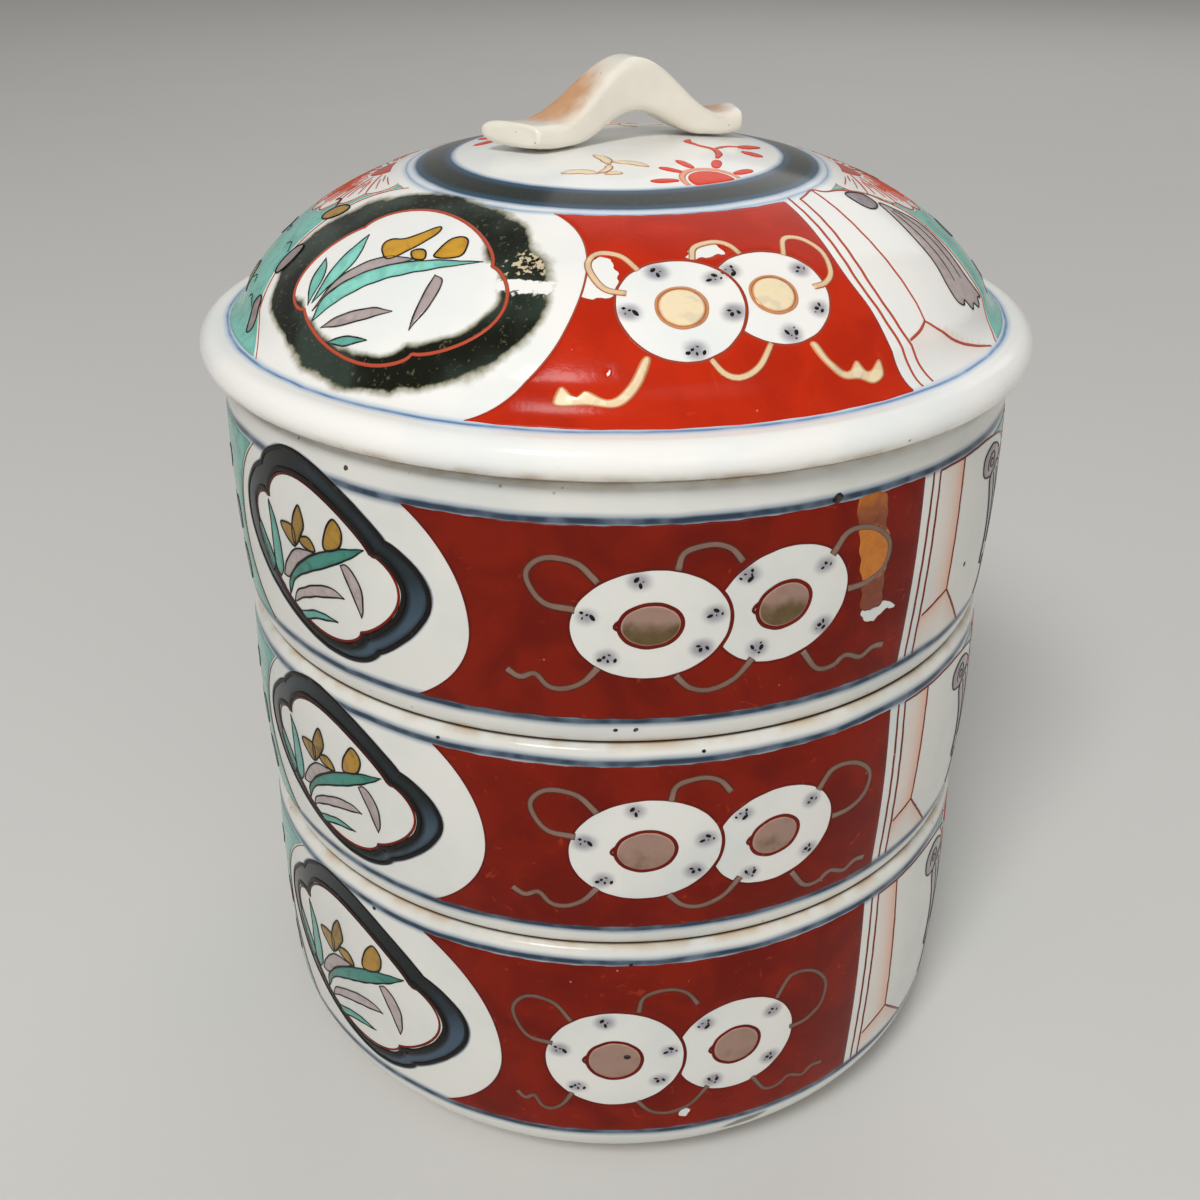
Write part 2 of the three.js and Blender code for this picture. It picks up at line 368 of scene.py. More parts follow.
LID_PETALS = (
    ((-6.2, 3.3), (-7.3, 5.0), (-6.3, 6.3), (-3.2, 7.5), (0.5, 11.4), (1.2, 9.2), (-1.0, 5.0),
     (-3.6, 2.2)),
    ((-0.3, 4.7), (0.9, 5.6), (2.4, 5.3), (3.2, 3.7), (1.2, 3.4)),
    ((4.8, 4.5), (4.4, 6.3), (4.8, 9.0), (6.7, 9.9), (8.3, 8.6), (9.0, 5.5)),
)

# The panel's far edge and its hanging ribbons: angles, and shares of the painted height
PANEL_EDGE = ((58.0, 0.985), (64.5, 0.95), (70.5, 0.87), (73.5, 0.77), (75.0, 0.64), (74.0, 0.5),
              (72.0, 0.31), (70.8, 0.18), (68.5, 0.06), (65.5, 0.0))

TIER_RIBBON = (
    ((63.2, 0.72), (64.8, 0.56), (66.0, 0.42), (66.2, 0.3), (65.6, 0.2), (67.0, 0.165),
     (68.2, 0.2), (69.4, 0.15), (71.0, 0.19), (73.0, 0.2), (73.4, 0.35), (72.4, 0.55),
     (70.0, 0.72), (66.5, 0.78)),
    ((59.2, 0.79), (59.2, 0.88), (62.5, 0.915), (66.5, 0.87), (68.8, 0.79), (65.0, 0.74),
     (61.5, 0.745)))

LID_RIBBON = (
    ((67.3, 0.73), (64.2, 0.59), (62.0, 0.44), (60.0, 0.335), (59.6, 0.255), (61.2, 0.22),
     (62.2, 0.24), (63.4, 0.18), (64.9, 0.2), (66.6, 0.165), (68.4, 0.2), (69.9, 0.19),
     (69.6, 0.305), (72.0, 0.465), (73.4, 0.6), (71.4, 0.72), (69.5, 0.79)),
    ((63.4, 0.92), (62.3, 0.86), (62.8, 0.8), (65.4, 0.78), (68.5, 0.8), (69.3, 0.87),
     (66.3, 0.915)))

# Gilded scrolls round the roundels, in their half sizes
LEFT_SCROLLS = (
    ((-0.66, 0.80), (-0.93, 1.14), (-1.32, 1.20), (-1.54, 0.96), (-1.50, 0.66),
     (-1.31, 0.38), (-0.95, 0.30)),
    ((0.32, 1.00), (0.40, 1.30), (0.73, 1.41), (0.98, 1.31), (1.14, 1.06)),
    ((0.33, -0.98), (0.52, -1.24), (0.78, -1.32), (1.09, -1.17), (1.34, -0.80)),
    ((-0.66, -0.80), (-0.87, -1.09), (-1.14, -1.24), (-1.36, -1.20), (-1.54, -0.97),
     (-1.75, -1.07), (-1.94, -0.94)),
)
RIGHT_SCROLLS = (
    ((0.72, 0.70), (0.99, 1.03), (1.43, 0.97), (1.76, 0.64), (1.70, 0.24),
     (1.40, 0.05), (1.04, 0.02)),
    ((0.36, -0.93), (0.63, -1.33), (0.92, -1.36), (1.13, -1.23), (1.43, -1.37),
     (1.66, -1.26), (1.88, -1.30)),
)

# On the lid the two low scrolls end in broad wavy tails: angles and heights
LID_TAILS = (
    ((-8.3, 4.2), (-7.3, 6.7), (-5.5, 5.2), (-4.2, 6.2), (-1.3, 4.9), (1.0, 7.1), (2.9, 11.2),
     (4.0, 10.8), (2.4, 6.4), (-0.2, 3.7), (-4.1, 3.9), (-7.2, 3.6)),
    ((26.0, 11.2), (27.2, 7.9), (29.6, 5.0), (32.2, 4.3), (34.3, 3.1), (36.5, 4.1), (36.2, 6.8),
     (34.0, 5.2), (32.3, 7.4), (30.6, 5.9), (28.4, 8.2), (27.2, 11.3)),
)

# Where the red has flaked off to the white, on the front of one body
FLAKES = {
    "upper_tier": (
        ((32.3, 19.7), (34.9, 19.6), (36.4, 20.3), (38.5, 18.3), (36.4, 18.4), (34.2, 17.0),
         (32.6, 17.9)),),
    "lower_tier": (((9.5, 14.6), (10.3, 16.1), (11.1, 14.8), (10.9, 13.4), (9.8, 13.5)),),
    "lid": (
        ((-6.3, 24.5), (-5.6, 28.8), (-2.6, 29.8), (-0.6, 27.4), (-0.3, 22.6), (-3.0, 21.4),
         (-5.6, 22.0)),
        ((11.9, 29.6), (13.6, 32.0), (17.0, 32.4), (18.9, 30.2), (16.6, 29.6), (14.0, 29.2)),
        ((-1.9, 8.8), (-1.5, 9.6), (-1.1, 8.9), (-1.5, 8.4))),
}

# Dried varnish over one scroll of the upper tier
RESIDUE = ((30.2, 40.2), (34.5, 40.1), (35.0, 34.8), (36.0, 31.3), (35.6, 27.0), (35.4, 22.0),
           (35.2, 19.8), (32.0, 20.3), (31.8, 24.0), (31.2, 28.0), (30.6, 34.0))

# Clock angles of the blots on each roundel, and how far out they sit
TIER_BLOTS = ((100.0, 168.0, 228.0, 324.0, 11.0), (131.0, 43.0, 319.0, 244.0))

LID_BLOTS = ((110.0, 185.0, 277.0, 348.0, 44.0), (131.0, 34.0, 329.0, 273.0))
BLOT_REACH = 0.80
BLOT_RADIUS = 2.1
BLOT_FLATNESS = 1.2

# The gilded disc's share of its roundel, and how far it has darkened at its foot on each body
DISC_SHARE = 0.37
DISC_SHADE = {"upper_tier": 1.0, "middle_tier": 0.5, "lower_tier": 0.2, "lid": 0.0}

# Small dark iron spots in the glaze, on the front of one body: angle, height and half size
IRON_SPOTS = {
    "upper_tier": ((27.0, 41.5, 0.8), (-35.2, 44.2, 0.45), (-0.3, 3.5, 0.35), (2.2, 3.5, 0.4),
                   (56.1, 17.6, 0.45)),
    "middle_tier": ((-24.0, 41.6, 0.35), (11.0, 42.2, 0.3)),
    "lower_tier": ((2.0, 53.4, 0.35), (-38.0, 53.0, 0.4)),
}

# A medallion's frame: how full its lobes are, the half sheet it stays within, where the tiers' wash
# pools (from this far under its middle, over this depth, leaning right), and how far the lid's ran
OUTER_FULLNESS = 0.8
INNER_FULLNESS = 0.65
FRAME_SHEET = (42.0, 32.0)
POOL = (2.0, 8.0, 40.0)
LID_FRAME_SLIP = (-1.8, 1.2)

# Wear of the lid's frame, as middles and half sizes: across, and up for the gap and the flakes
WORN_ACROSS = (23.0, 8.5)
GAP_UP = (0.8, 3.0)
FLAKED_UP = (5.4, 5.2)

# A grey burn under the lower tier's red field: angle, height, half sizes, lean and strength
BURN = (20.5, 7.6, 9.5, 2.0, 0.12, 1.5)

# Fruit on the green field: shares of its width and height, and enamel
FRUIT = ((0.80, 0.70, "ochre"), (0.90, 0.42, "aubergine"), (0.55, 0.20, "ochre"),
         (0.30, 0.42, "aubergine"), (0.20, 0.16, "ochre"), (0.93, 0.14, "aubergine"))

# Strokes in each petal of the half chrysanthemum: shift, start and end as shares, and width
PETAL_STROKES = ((-0.5, 0.34, 1.0, 0.45), (-0.2, 0.55, 0.92, 0.28), (0.0, 0.45, 0.7, 0.3),
                 (0.2, 0.55, 0.92, 0.28))

# The crown in plan: a flower's middle and petal tips, a red and a gilded sprig as lines and widths
CROWN_FLOWER = (16.0, -26.6)
CROWN_TIPS = ((5.6, -29.0), (7.2, -22.2), (10.4, -17.6), (17.5, -15.6), (23.2, -19.0))
RED_SPRIG = (
    (((17.5, -14.4), (18.1, -11.2), (17.4, -7.7), (15.2, -5.8), (13.3, -3.8)), 1.4),
    (((17.4, -7.7), (19.9, -4.4), (22.7, -3.3)), 1.0),
    (((22.4, -4.6), (24.2, -2.4), (26.2, -0.8)), 2.8),
    (((22.6, -7.2), (24.6, -8.4), (25.6, -9.8)), 2.8),
    (((14.6, -5.2), (13.0, -2.6), (13.4, -0.6)), 1.5))
GILDED_SPRIG = (
    (((-3.2, -25.6), (-6.6, -24.4), (-9.6, -24.9)), 2.2),
    (((-3.2, -25.6), (-1.6, -23.4), (-1.4, -20.9)), 1.5),
    (((-1.4, -20.9), (-2.2, -17.6), (-4.1, -15.1)), 2.1),
    (((-1.2, -19.4), (2.4, -20.0), (5.4, -22.0)), 2.0),
    (((-2.2, -26.0), (-0.6, -25.4), (0.9, -25.7)), 1.6))

# Tone of the crown's red, brighter than the lid's ground as painted light on the crown
LIT_CROWN_TONE = -0.5

# Marks that the painted porcelain's material reads, and each enamel with a slot name that the
# pieces are not given
PORCELAIN_MARKS = ("low_line", "high_line", "band_depth", "band_kind", "wash", "worn", "blot_depth",
                   "peach", "rim", "bare")
COAT_SLOTS = {"red": "iron_red_enamel", "gold": "worn_gold", "green": "green_enamel",
              "aubergine": "aubergine_enamel", "ochre": "ochre_enamel", "black": "black_line",
              "residue": "ochre_enamel"}


def reach_along(line):
    """How far along a line each of its points lies."""
    return np.concatenate([[0.0], np.cumsum(np.hypot(*np.diff(line, axis=0).T))])


def leftward(ahead):
    """Steps of one to the left of each direction."""
    ahead = ahead / np.maximum(np.hypot(*ahead.T), TINY)[:, None]
    return np.column_stack([-ahead[:, 1], ahead[:, 0]])


def unit(value):
    """A share held between zero and one."""
    return np.clip(value, 0.0, 1.0)


def leaned(x, y, lean):
    """Flat places turned about the origin by an angle in radians."""
    return np.column_stack([x * math.cos(lean) - y * math.sin(lean),
                            x * math.sin(lean) + y * math.cos(lean)])


def bump(along, half):
    """One smooth swell from zero to one and back."""
    return np.where(np.abs(along) < half, (1 + np.cos(math.pi * along / half)) / 2, 0.0)


def even(points, step, closed=False):
    """The same line cut into even pieces of about one step."""
    line = np.vstack([points, points[:1]]) if closed else np.asarray(points, float)
    reach = reach_along(line)
    count = max(3, int(round(reach[-1] / step)) + 1)
    at = np.linspace(0.0, reach[-1], count)
    if closed:
        at = at[:-1]
    return np.column_stack([np.interp(at, reach, line[:, 0]), np.interp(at, reach, line[:, 1])])


def smooth(points, step, closed=False):
    """A smooth line through the points, cut into even pieces."""
    p = np.asarray(points, float)
    if closed:
        p = np.vstack([p[-1:], p, p[:2]])
    else:
        p = np.vstack([2 * p[0] - p[1], p, 2 * p[-1] - p[-2]])
    t = np.linspace(0.0, 1.0, CURVE_STEPS + 1)[:-1, None]
    runs = []
    for a, b, c, d in zip(p, p[1:], p[2:], p[3:]):
        runs.append(0.5 * (2 * b + (c - a) * t + (2 * a - 5 * b + 4 * c - d) * t ** 2
                           + (3 * b - a - 3 * c + d) * t ** 3))
    line = np.vstack(runs if closed else runs + [p[-2:-1]])
    return even(line, step, closed)


def lobed(lobes, fullness):
    """The closed outline of a lobed frame, each lobe from its cusp over its crest to the next."""
    share = ((1 - np.cos(math.pi * np.arange(LOBE_STEPS) / LOBE_STEPS)) / 2)[:, None]
    cusps = np.array([cusp for cusp, crest in lobes])
    crests = np.array([crest for cusp, crest in lobes])
    runs = []
    for start, crest, end in zip(cusps, crests, np.roll(cusps, -1, axis=0)):
        rise = np.sin(math.pi * share) ** fullness
        runs.append(start + (end - start) * share + rise * (crest - (start + end) / 2))
    return np.vstack(runs)


def frame_loops(plan):
    """Outer and inner edge of a medallion's dark frame, in millimetres about its centre."""
    outer, inner = LID_FRAME if plan.lid else TIER_FRAME
    return plan.outside(lobed(outer, OUTER_FULLNESS)), plan.inside(lobed(inner, INNER_FULLNESS))


def ellipse(half, tilt=0.0, steps=72, start=0.0, sweep=360.0):
    """Points of an ellipse about the origin."""
    turn = np.radians(start + sweep * np.arange(steps) / (steps if sweep == 360.0 else steps - 1))
    return leaned(half[0] * np.cos(turn), half[1] * np.sin(turn), math.radians(tilt))


def unsteady(points, amount, seed, pace=1.0):
    """The line as a hand would draw it, a little off to one side and the other."""
    x, y = points.T * pace
    sway = np.sin(0.9 * x + 1.3 * y + seed) + 0.6 * np.sin(2.1 * x - 0.7 * y + 2 * seed)
    return points + leftward(np.gradient(points, axis=0)) * (amount * sway / 1.6)[:, None]


def inside(points, loop):
    """Which points lie inside a closed loop."""
    x = points[:, :1]
    y = points[:, 1:]
    x1, y1 = loop.T
    x2, y2 = np.roll(loop, -1, axis=0).T
    rise = np.where(y2 == y1, 1e-12, y2 - y1)
    crossed = ((y1 > y) != (y2 > y)) & (x < x1 + (x2 - x1) * (y - y1) / rise)
    return crossed.sum(axis=1) % 2 == 1


def less(loop, other):
    """A closed loop without the part that another loop covers."""
    free = ~inside(loop, other)
    covered = inside(other, loop)
    if free.all() or not covered.any():
        return loop
    first = np.flatnonzero(free & ~np.roll(free, 1))[0]
    kept = np.roll(loop, -first, axis=0)[np.roll(free, -first)]
    first = np.flatnonzero(covered & ~np.roll(covered, 1))[0]
    cut = np.roll(other, -first, axis=0)[np.roll(covered, -first)]
    if np.hypot(*(cut[0] - kept[-1])) > np.hypot(*(cut[-1] - kept[-1])):
        cut = cut[::-1]
    return np.vstack([kept, cut])


def distance(points, loop):
    """How far each point lies from a closed loop."""
    run = np.roll(loop, -1, axis=0) - loop
    square = np.maximum((run ** 2).sum(axis=1), 1e-12)
    nearest = np.empty(len(points))
    for first in range(0, len(points), BATCH):
        some = points[first:first + BATCH, None, :] - loop[None]
        share = unit((some * run).sum(axis=2) / square)
        apart = some - share[:, :, None] * run
        nearest[first:first + BATCH] = np.sqrt((apart ** 2).sum(axis=2).min(axis=1))
    return nearest


def depth_in(points, loop):
    """How deep inside a closed loop each point lies, negative outside."""
    apart = distance(points, loop)
    return np.where(inside(points, loop), apart, -apart)


class Surface:
    """The painted outside of a turned piece: radius and height along its section."""

    def __init__(self, along, radius, height, seat):
        self.along = np.asarray(along)
        self.radius = np.asarray(radius)
        self.height = np.asarray(height) + seat
        self.reference = float(np.median(self.radius))
        out = np.gradient(self.height, self.along)
        up = -np.gradient(self.radius, self.along)
        whole = np.hypot(out, up)
        self.out = out / whole
        self.up = up / whole

    def radius_at(self, along):
        """Radius at places along the section."""
        return np.interp(along, self.along, self.radius)

    def along_at(self, radius):
        """Places along the section that have these radii."""
        return np.interp(-np.asarray(radius), -self.radius, self.along)

    def place(self, angle, along, lift):
        """Points a little over the surface, angles counted from the front to the right."""
        out = np.interp(along, self.along, self.out)
        up = np.interp(along, self.along, self.up)
        radius = self.radius_at(along) + out * lift
        height = np.interp(along, self.along, self.height) + up * lift
        return np.column_stack([radius * np.sin(angle), -radius * np.cos(angle), height])


class Chart:
    """A flat sheet laid on a surface, round its side or in plan over its crown."""

    def __init__(self, surface, turn=0.0, crown=False):
        self.surface = surface
        self.front = turn == 0.0
        self.turn = math.radians(turn)
        self.crown = crown

    def lay(self, flat, lift):
        """Points of the sheet laid a little over the surface."""
        if self.crown:
            angle = np.arctan2(flat[:, 0], -flat[:, 1])
            along = self.surface.along_at(np.hypot(flat[:, 0], flat[:, 1]))
        else:
            angle = flat[:, 0] / self.surface.reference
            along = flat[:, 1]
        return self.surface.place(angle + self.turn, along, lift)

    def stretch(self, flat):
        """Sheet widths for one millimetre across and one up, at these places."""
        across = np.ones(len(flat))
        if not self.crown:
            across = self.surface.reference / self.surface.radius_at(flat[:, 1])
        return np.column_stack([across, np.ones(len(flat))])

    def at(self, points):
        """Angles and heights as places on the sheet."""
        points = np.asarray(points, float)
        return np.column_stack([np.radians(points[:, 0]) * self.surface.reference, points[:, 1]])

    def round(self, centre, points):
        """A drawing in millimetres about a centre, as places on the sheet."""
        points = np.asarray(points, float)
        along = centre[1] + points[:, 1]
        angle = math.radians(centre[0]) + points[:, 0] / self.surface.radius_at(along)
        return np.column_stack([angle * self.surface.reference, along])


def filled(loops, spacing):
    """Triangles that fill the first loop but not the others."""
    points = np.vstack(loops)
    edges = []
    first = 0
    for loop in loops:
        edges += [(first + i, first + (i + 1) % len(loop)) for i in range(len(loop))]
        first += len(loop)

    def held(some):
        keep = inside(some, loops[0])
        for hole in loops[1:]:
            keep &= ~inside(some, hole)
        return keep

    extra = []
    for loop in loops:
        across = leftward(np.roll(loop, -1, axis=0) - np.roll(loop, 1, axis=0)) * RIM_WIDTH
        both = np.vstack([loop + across, loop - across])
        near = np.min([distance(both, other) for other in loops], axis=0)
        extra.append(both[held(both) & (near > 0.8 * RIM_WIDTH)])
    low = loops[0].min(axis=0)
    high = loops[0].max(axis=0)
    columns, rows = np.meshgrid(np.arange(low[0], high[0], spacing),
                                np.arange(low[1], high[1], spacing))
    columns[1::2] += spacing / 2
    grid = np.column_stack([columns.ravel(), rows.ravel()])
    if len(grid):
        near = np.min([distance(grid, loop) for loop in loops], axis=0)
        extra.append(grid[held(grid) & (near > RIM_WIDTH + 0.4 * spacing)])
    points = np.vstack([points, *extra])
    made = delaunay_2d_cdt([Vector(p) for p in points.tolist()], edges, [], 0, 1e-5)
    sheet = np.array([tuple(v) for v in made[0]])
    triangles = np.array([t for t in made[2] if len(t) == 3])
    middles = sheet[triangles].mean(axis=1)
    triangles = triangles[held(middles)]
    a, b, c = (sheet[triangles[:, k]] for k in range(3))
    area = (b[:, 0] - a[:, 0]) * (c[:, 1] - a[:, 1]) - (b[:, 1] - a[:, 1]) * (c[:, 0] - a[:, 0])
    triangles[area < 0] = triangles[area < 0][:, ::-1]
    triangles = triangles[np.abs(area) > 1e-7]
    used, places = np.unique(triangles, return_inverse=True)
    return sheet[used], places.reshape(triangles.shape).tolist()


class Coat:
    """One enamel on one body: thin closed shapes that lie on the glaze."""

    def __init__(self):
        self.points = []
        self.faces = []
        self.marks = {"tone": [], "thin": [], "edge": []}
        self.count = 0

    def add(self, points, faces, **marks):
        """One more closed shape with its marks."""
        self.points.append(points)
        self.faces.extend([[i + self.count for i in face] for face in faces])
        for label, value in marks.items():
            self.marks[label].append(np.broadcast_to(value, len(points)).astype(float))
        self.count += len(points)

    def patch(self, chart, outline, holes=(), tone=0.0, thin=0.0, base=0.0, coat=COAT, spacing=1.8):
        """A filled area with a soft raised edge; tone and thin may vary over the sheet."""
        loops = [even(loop, min(EDGE_STEP, spacing / 2), closed=True) for loop in (outline, *holes)]
        sheet, triangles = filled(loops, spacing)
        apart = np.min([distance(sheet, loop) for loop in loops], axis=0)
        share = unit(apart / RIM_WIDTH)
        lift = base + EDGE_LIFT + coat * share * (2 - share)
        top = chart.lay(sheet, lift)
        under = chart.lay(sheet, np.full(len(sheet), -SINK))
        step = len(sheet)
        faces = [list(t) for t in triangles]
        faces += [[i + step for i in reversed(t)] for t in triangles]
        sides = {}
        for t in triangles:
            for a, b in zip(t, t[1:] + t[:1]):
                if (b, a) in sides:
                    del sides[(b, a)]
                else:
                    sides[(a, b)] = True
        faces += [[b, a, a + step, b + step] for a, b in sides]
        tone, thin = (np.tile(mark(sheet), 2) if callable(mark) else mark for mark in (tone, thin))
        self.add(np.vstack([top, under]), faces, tone=tone, thin=thin, edge=np.tile(apart, 2))

    def stroke(self, chart, path, width, tone=0.0, thin=0.0, base=0.0, coat=COAT, closed=False,
               ends=0.45):
        """A brush line with a rounded back; its ends are this share of its width."""
        line = even(path, max(LEAST_STEP, min(EDGE_STEP, width / 2)), closed)
        stretch = chart.stretch(line)
        if closed:
            ahead = np.roll(line, -1, axis=0) - np.roll(line, 1, axis=0)
            share = np.ones(len(line))
        else:
            ahead = np.gradient(line, axis=0)
            along = np.linspace(0.0, 1.0, len(line))
            share = ends + (1 - ends) * np.minimum(1.0, np.minimum(along, 1 - along) / TAPER)
        across = leftward(ahead / stretch) * stretch * (width * share)[:, None]
        top = base + coat + EDGE_LIFT
        section = ((0.5, base + EDGE_LIFT), (0.25, top), (-0.25, top), (-0.5, base + EDGE_LIFT),
                   (0.0, -SINK))
        rings = [chart.lay(line + side * across, np.full(len(line), lift))
                 for side, lift in section]
        edge = np.concatenate([(0.5 - abs(side)) * width * share for side, lift in section])
        count = len(line)
        corners = len(section)
        faces = []
        for i in range(count if closed else count - 1):
            j = (i + 1) % count
            for k in range(corners):
                m = (k + 1) % corners
                faces.append([k * count + i, m * count + i, m * count + j, k * count + j])
        if not closed:
            faces.append([k * count for k in reversed(range(corners))])
            faces.append([k * count + count - 1 for k in range(corners)])
        tone = np.tile(tone(line), corners) if callable(tone) else tone
        self.add(np.vstack(rings), faces, tone=tone, thin=thin, edge=edge)


def softened(corners):
    """A section through corners given as (radius, height, rounding)."""
    line = []
    for i, (r, z, rounding) in enumerate(corners):
        here = np.array([r, z])
        if not rounding or i in (0, len(corners) - 1):
            line.append(here)
            continue
        before = np.array(corners[i - 1][:2]) - here
        after = np.array(corners[i + 1][:2]) - here
        start = here + before / np.hypot(*before) * rounding
        end = here + after / np.hypot(*after) * rounding
        for t in np.linspace(0.0, 1.0, 5):
            line.append((1 - t) ** 2 * start + 2 * t * (1 - t) * here + t ** 2 * end)
    return np.array(line)


def quarter(centre, half, start, end, steps):
    """Points of an elliptic arc, angles in degrees."""
    turn = np.radians(np.linspace(start, end, steps))
    return np.column_stack([centre[0] + half[0] * np.cos(turn),
                            centre[1] + half[1] * np.sin(turn)])


def seat_of(node):
    """Height of the level a tier or the lid rests at, from the CAD box."""
    depth = TIER_SHAPES[node].ring_depth if node in TIER_SHAPES else LID_RING_DEPTH
    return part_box(node)[0][2] / MM + depth


def tier_sections(node):
    """Underside, outside and inside of a tier's section over its seat."""
    shape = TIER_SHAPES[node]
    radius = size("tier_radius")
    lip = size("lip")
    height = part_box(node)[1][2] / MM - seat_of(node)
    start = radius - shape.corner_width
    under = softened((
        (0.0, 0.0, 0.0), (shape.ring_bore, 0.0, UNDERCUT),
        (shape.ring_bore, -shape.ring_depth, RING_EDGE),
        (shape.ring_radius, -shape.ring_depth, RING_EDGE), (shape.ring_radius, 0.0, RING_ROOT),
        (start - SEAT_FLAT, 0.0, 0.0)))
    corner = quarter((start, shape.corner_height), (shape.corner_width, shape.corner_height),
                     -90.0, 0.0, 15)
    rise = height - lip - shape.corner_height
    share = np.linspace(0.0, 1.0, int(rise / TIER_ROW_STEP))[1:]
    wall = np.column_stack([radius + size("swell") * np.sin(math.pi * share),
                            shape.corner_height + rise * share])
    crown = quarter((radius - lip, height - lip), (lip, lip), 0.0, 90.0, 8)[1:]
    outside = np.vstack([corner, wall, crown])
    bore = radius - size("wall")
    round_off = size("inner_corner")
    inner = quarter((bore - round_off, size("floor") + round_off), (round_off, round_off),
                    0.0, -90.0, 9)
    within = np.vstack([
        quarter((bore + BORE_EDGE, height - BORE_EDGE), (BORE_EDGE, BORE_EDGE), 90.0, 180.0, 5),
        [[bore, height - BORE_ROW]], inner, [[FLOOR_ROW, size("floor")], [0.0, size("floor")]]])
    return under, outside, within


def lid_sections():
    """Underside and outside of the lid's section over its seat."""
    foot_radius = size("tier_radius") - size("dome_inset")
    rise_from = 0.9
    rise = size("dome_height") - rise_from
    brim = size("tier_radius") + size("brim_overhang")
    half = size("brim_thickness") / 2
    brim_top = rise_from + 2 * half
    fillet = 6.0
    flatness = 2.5
    side_power = 0.56
    seat_in = 2.0
    seat_edge = 0.5

    def dome(radius):
        return rise_from + rise * (1 - (radius / foot_radius) ** flatness) ** side_power

    level = brim_top + fillet
    foot = foot_radius * (1 - ((level - rise_from) / rise) ** (1 / side_power)) ** (1 / flatness)
    start = foot + min(fillet, brim - half - foot)
    bend = foot + (start - foot) / 3
    t = np.linspace(0.0, 1.0, 40)[:, None]
    hollow = ((1 - t) ** 2 * np.array([start, brim_top]) + 2 * t * (1 - t)
              * np.array([bend, brim_top]) + t ** 2 * np.array([foot, level]))
    reach = foot * np.sin(np.linspace(math.pi / 2, 0.0, 400))[1:]
    over = np.vstack([[[brim - half, brim_top]], hollow, np.column_stack([reach, dome(reach)])])
    over = even(over, LID_ROW_STEP)
    over[-1, 0] = 0.0
    inner = size("tier_radius") - size("wall") - LID_RING_PLAY
    bore = inner - LID_RING_WALL
    ceiling = size("dome_height") - rise_from - size("dome_thickness")
    under = quarter((0.0, rise_from), (bore, ceiling), 90.0, 0.0, 22)
    under[0, 0] = 0.0
    ring = softened((
        (bore, rise_from, 0.0), (bore, -LID_RING_DEPTH, RING_EDGE),
        (inner, -LID_RING_DEPTH, RING_EDGE), (inner, 0.0, RING_ROOT),
        (size("tier_radius") - seat_in, 0.0, seat_edge), (brim - half, rise_from, 0.0)))
    edge = quarter((brim - half, rise_from + half), (half, half), -90.0, 90.0, 15)
    return np.vstack([under, ring[1:-1]]), edge, over[1:]


def tier_surface(node):
    """Where paint lies on a tier."""
    outside = tier_sections(node)[1]
    return Surface(outside[:, 1], outside[:, 0], outside[:, 1], seat_of(node))


def lid_surface():
    """Where paint lies on the lid, counted along the dome from its foot line."""
    over = lid_sections()[2]
    along = reach_along(over)
    foot_line = np.interp(-FOOT_LINE_RADIUS, -over[:, 0], along)
    return Surface(along - foot_line, over[:, 0], over[:, 1], seat_of("lid"))


def surface_of(body):
    """Where paint lies on a tier or the lid."""
    return lid_surface() if body == "lid" else tier_surface(body)


def wrapped(angle):
    """An angle in radians brought between minus and plus half a turn."""
    return (angle + math.pi) % (2 * math.pi) - math.pi


def both_sides(angle):
    """The angles as each of the two like halves of the painting sees them."""
    return wrapped(angle), wrapped(angle + math.pi)


def about(surface, angle, along, centre):
    """Millimetres across and up from a centre on the surface."""
    across = wrapped(angle - math.radians(centre[0])) * surface.radius_at(along)
    return np.column_stack([across, along - centre[1]])


def frame_marks(body, surface, angle, along):
    """Depth inside a medallion's dark frame, where its wash pools or runs, and where it is worn."""
    plan = LAYOUTS[body]
    outer, inner = frame_loops(plan)
    depth = np.full(len(angle), -FAR)
    wash = np.zeros(len(angle))
    worn = np.zeros(len(angle))
    for front, side in zip((True, False), both_sides(angle)):
        spot = about(surface, side, along, plan.frame_at)
        near = (np.abs(spot) < FRAME_SHEET).all(axis=1)
        spot = spot[near]
        x, y = spot.T
        from_outer = depth_in(spot, outer)
        within = -depth_in(spot, inner)
        if plan.lid:
            slipped = -depth_in(spot, inner + LID_FRAME_SLIP)
            ran = np.maximum(unit(0.5 + (within - from_outer) / 2),
                             0.5 * (slipped > within + 0.3))
            within = np.maximum(within, slipped)
        else:
            ran = unit((-y - POOL[0]) / POOL[1] + x / POOL[2])
        depth[near] = np.maximum(depth[near], np.minimum(from_outer, within))
        wash[near] = np.maximum(wash[near], ran)
        if plan.lid and front:
            reach = unit(1.6 * bump(x - WORN_ACROSS[0], WORN_ACROSS[1]))
            gap = 0.9 * reach * bump(y - GAP_UP[0], GAP_UP[1])
            patch = unit(1.3 * bump(y - FLAKED_UP[0], FLAKED_UP[1]))
            worn[near] = np.where(gap > 0.3, -gap, reach * patch * (1 - gap))
    return depth, wash, worn


def blots(body):
    """Centres of the soft blots on the roundels."""
    plan = LAYOUTS[body]
    found = []
    clocks = LID_BLOTS if plan.lid else TIER_BLOTS
    for roundel, clock in zip((plan.left_roundel, plan.right_roundel), clocks):
        turn = np.radians(clock)
        spots = np.column_stack([np.cos(turn) * roundel.half[0], np.sin(turn) * roundel.half[1]])
        found += [(roundel.centre, spot * BLOT_REACH) for spot in spots]
    return found


def blot_depth(body, surface, angle, along):
    """Millimetres inside the nearest blot, negative outside."""
    depth = np.full(len(angle), -FAR)
    for side in both_sides(angle):
        for centre, spot in blots(body):
            x, y = (about(surface, side, along, centre) - spot).T
            depth = np.maximum(depth, BLOT_RADIUS - np.hypot(x, BLOT_FLATNESS * y))
    return depth


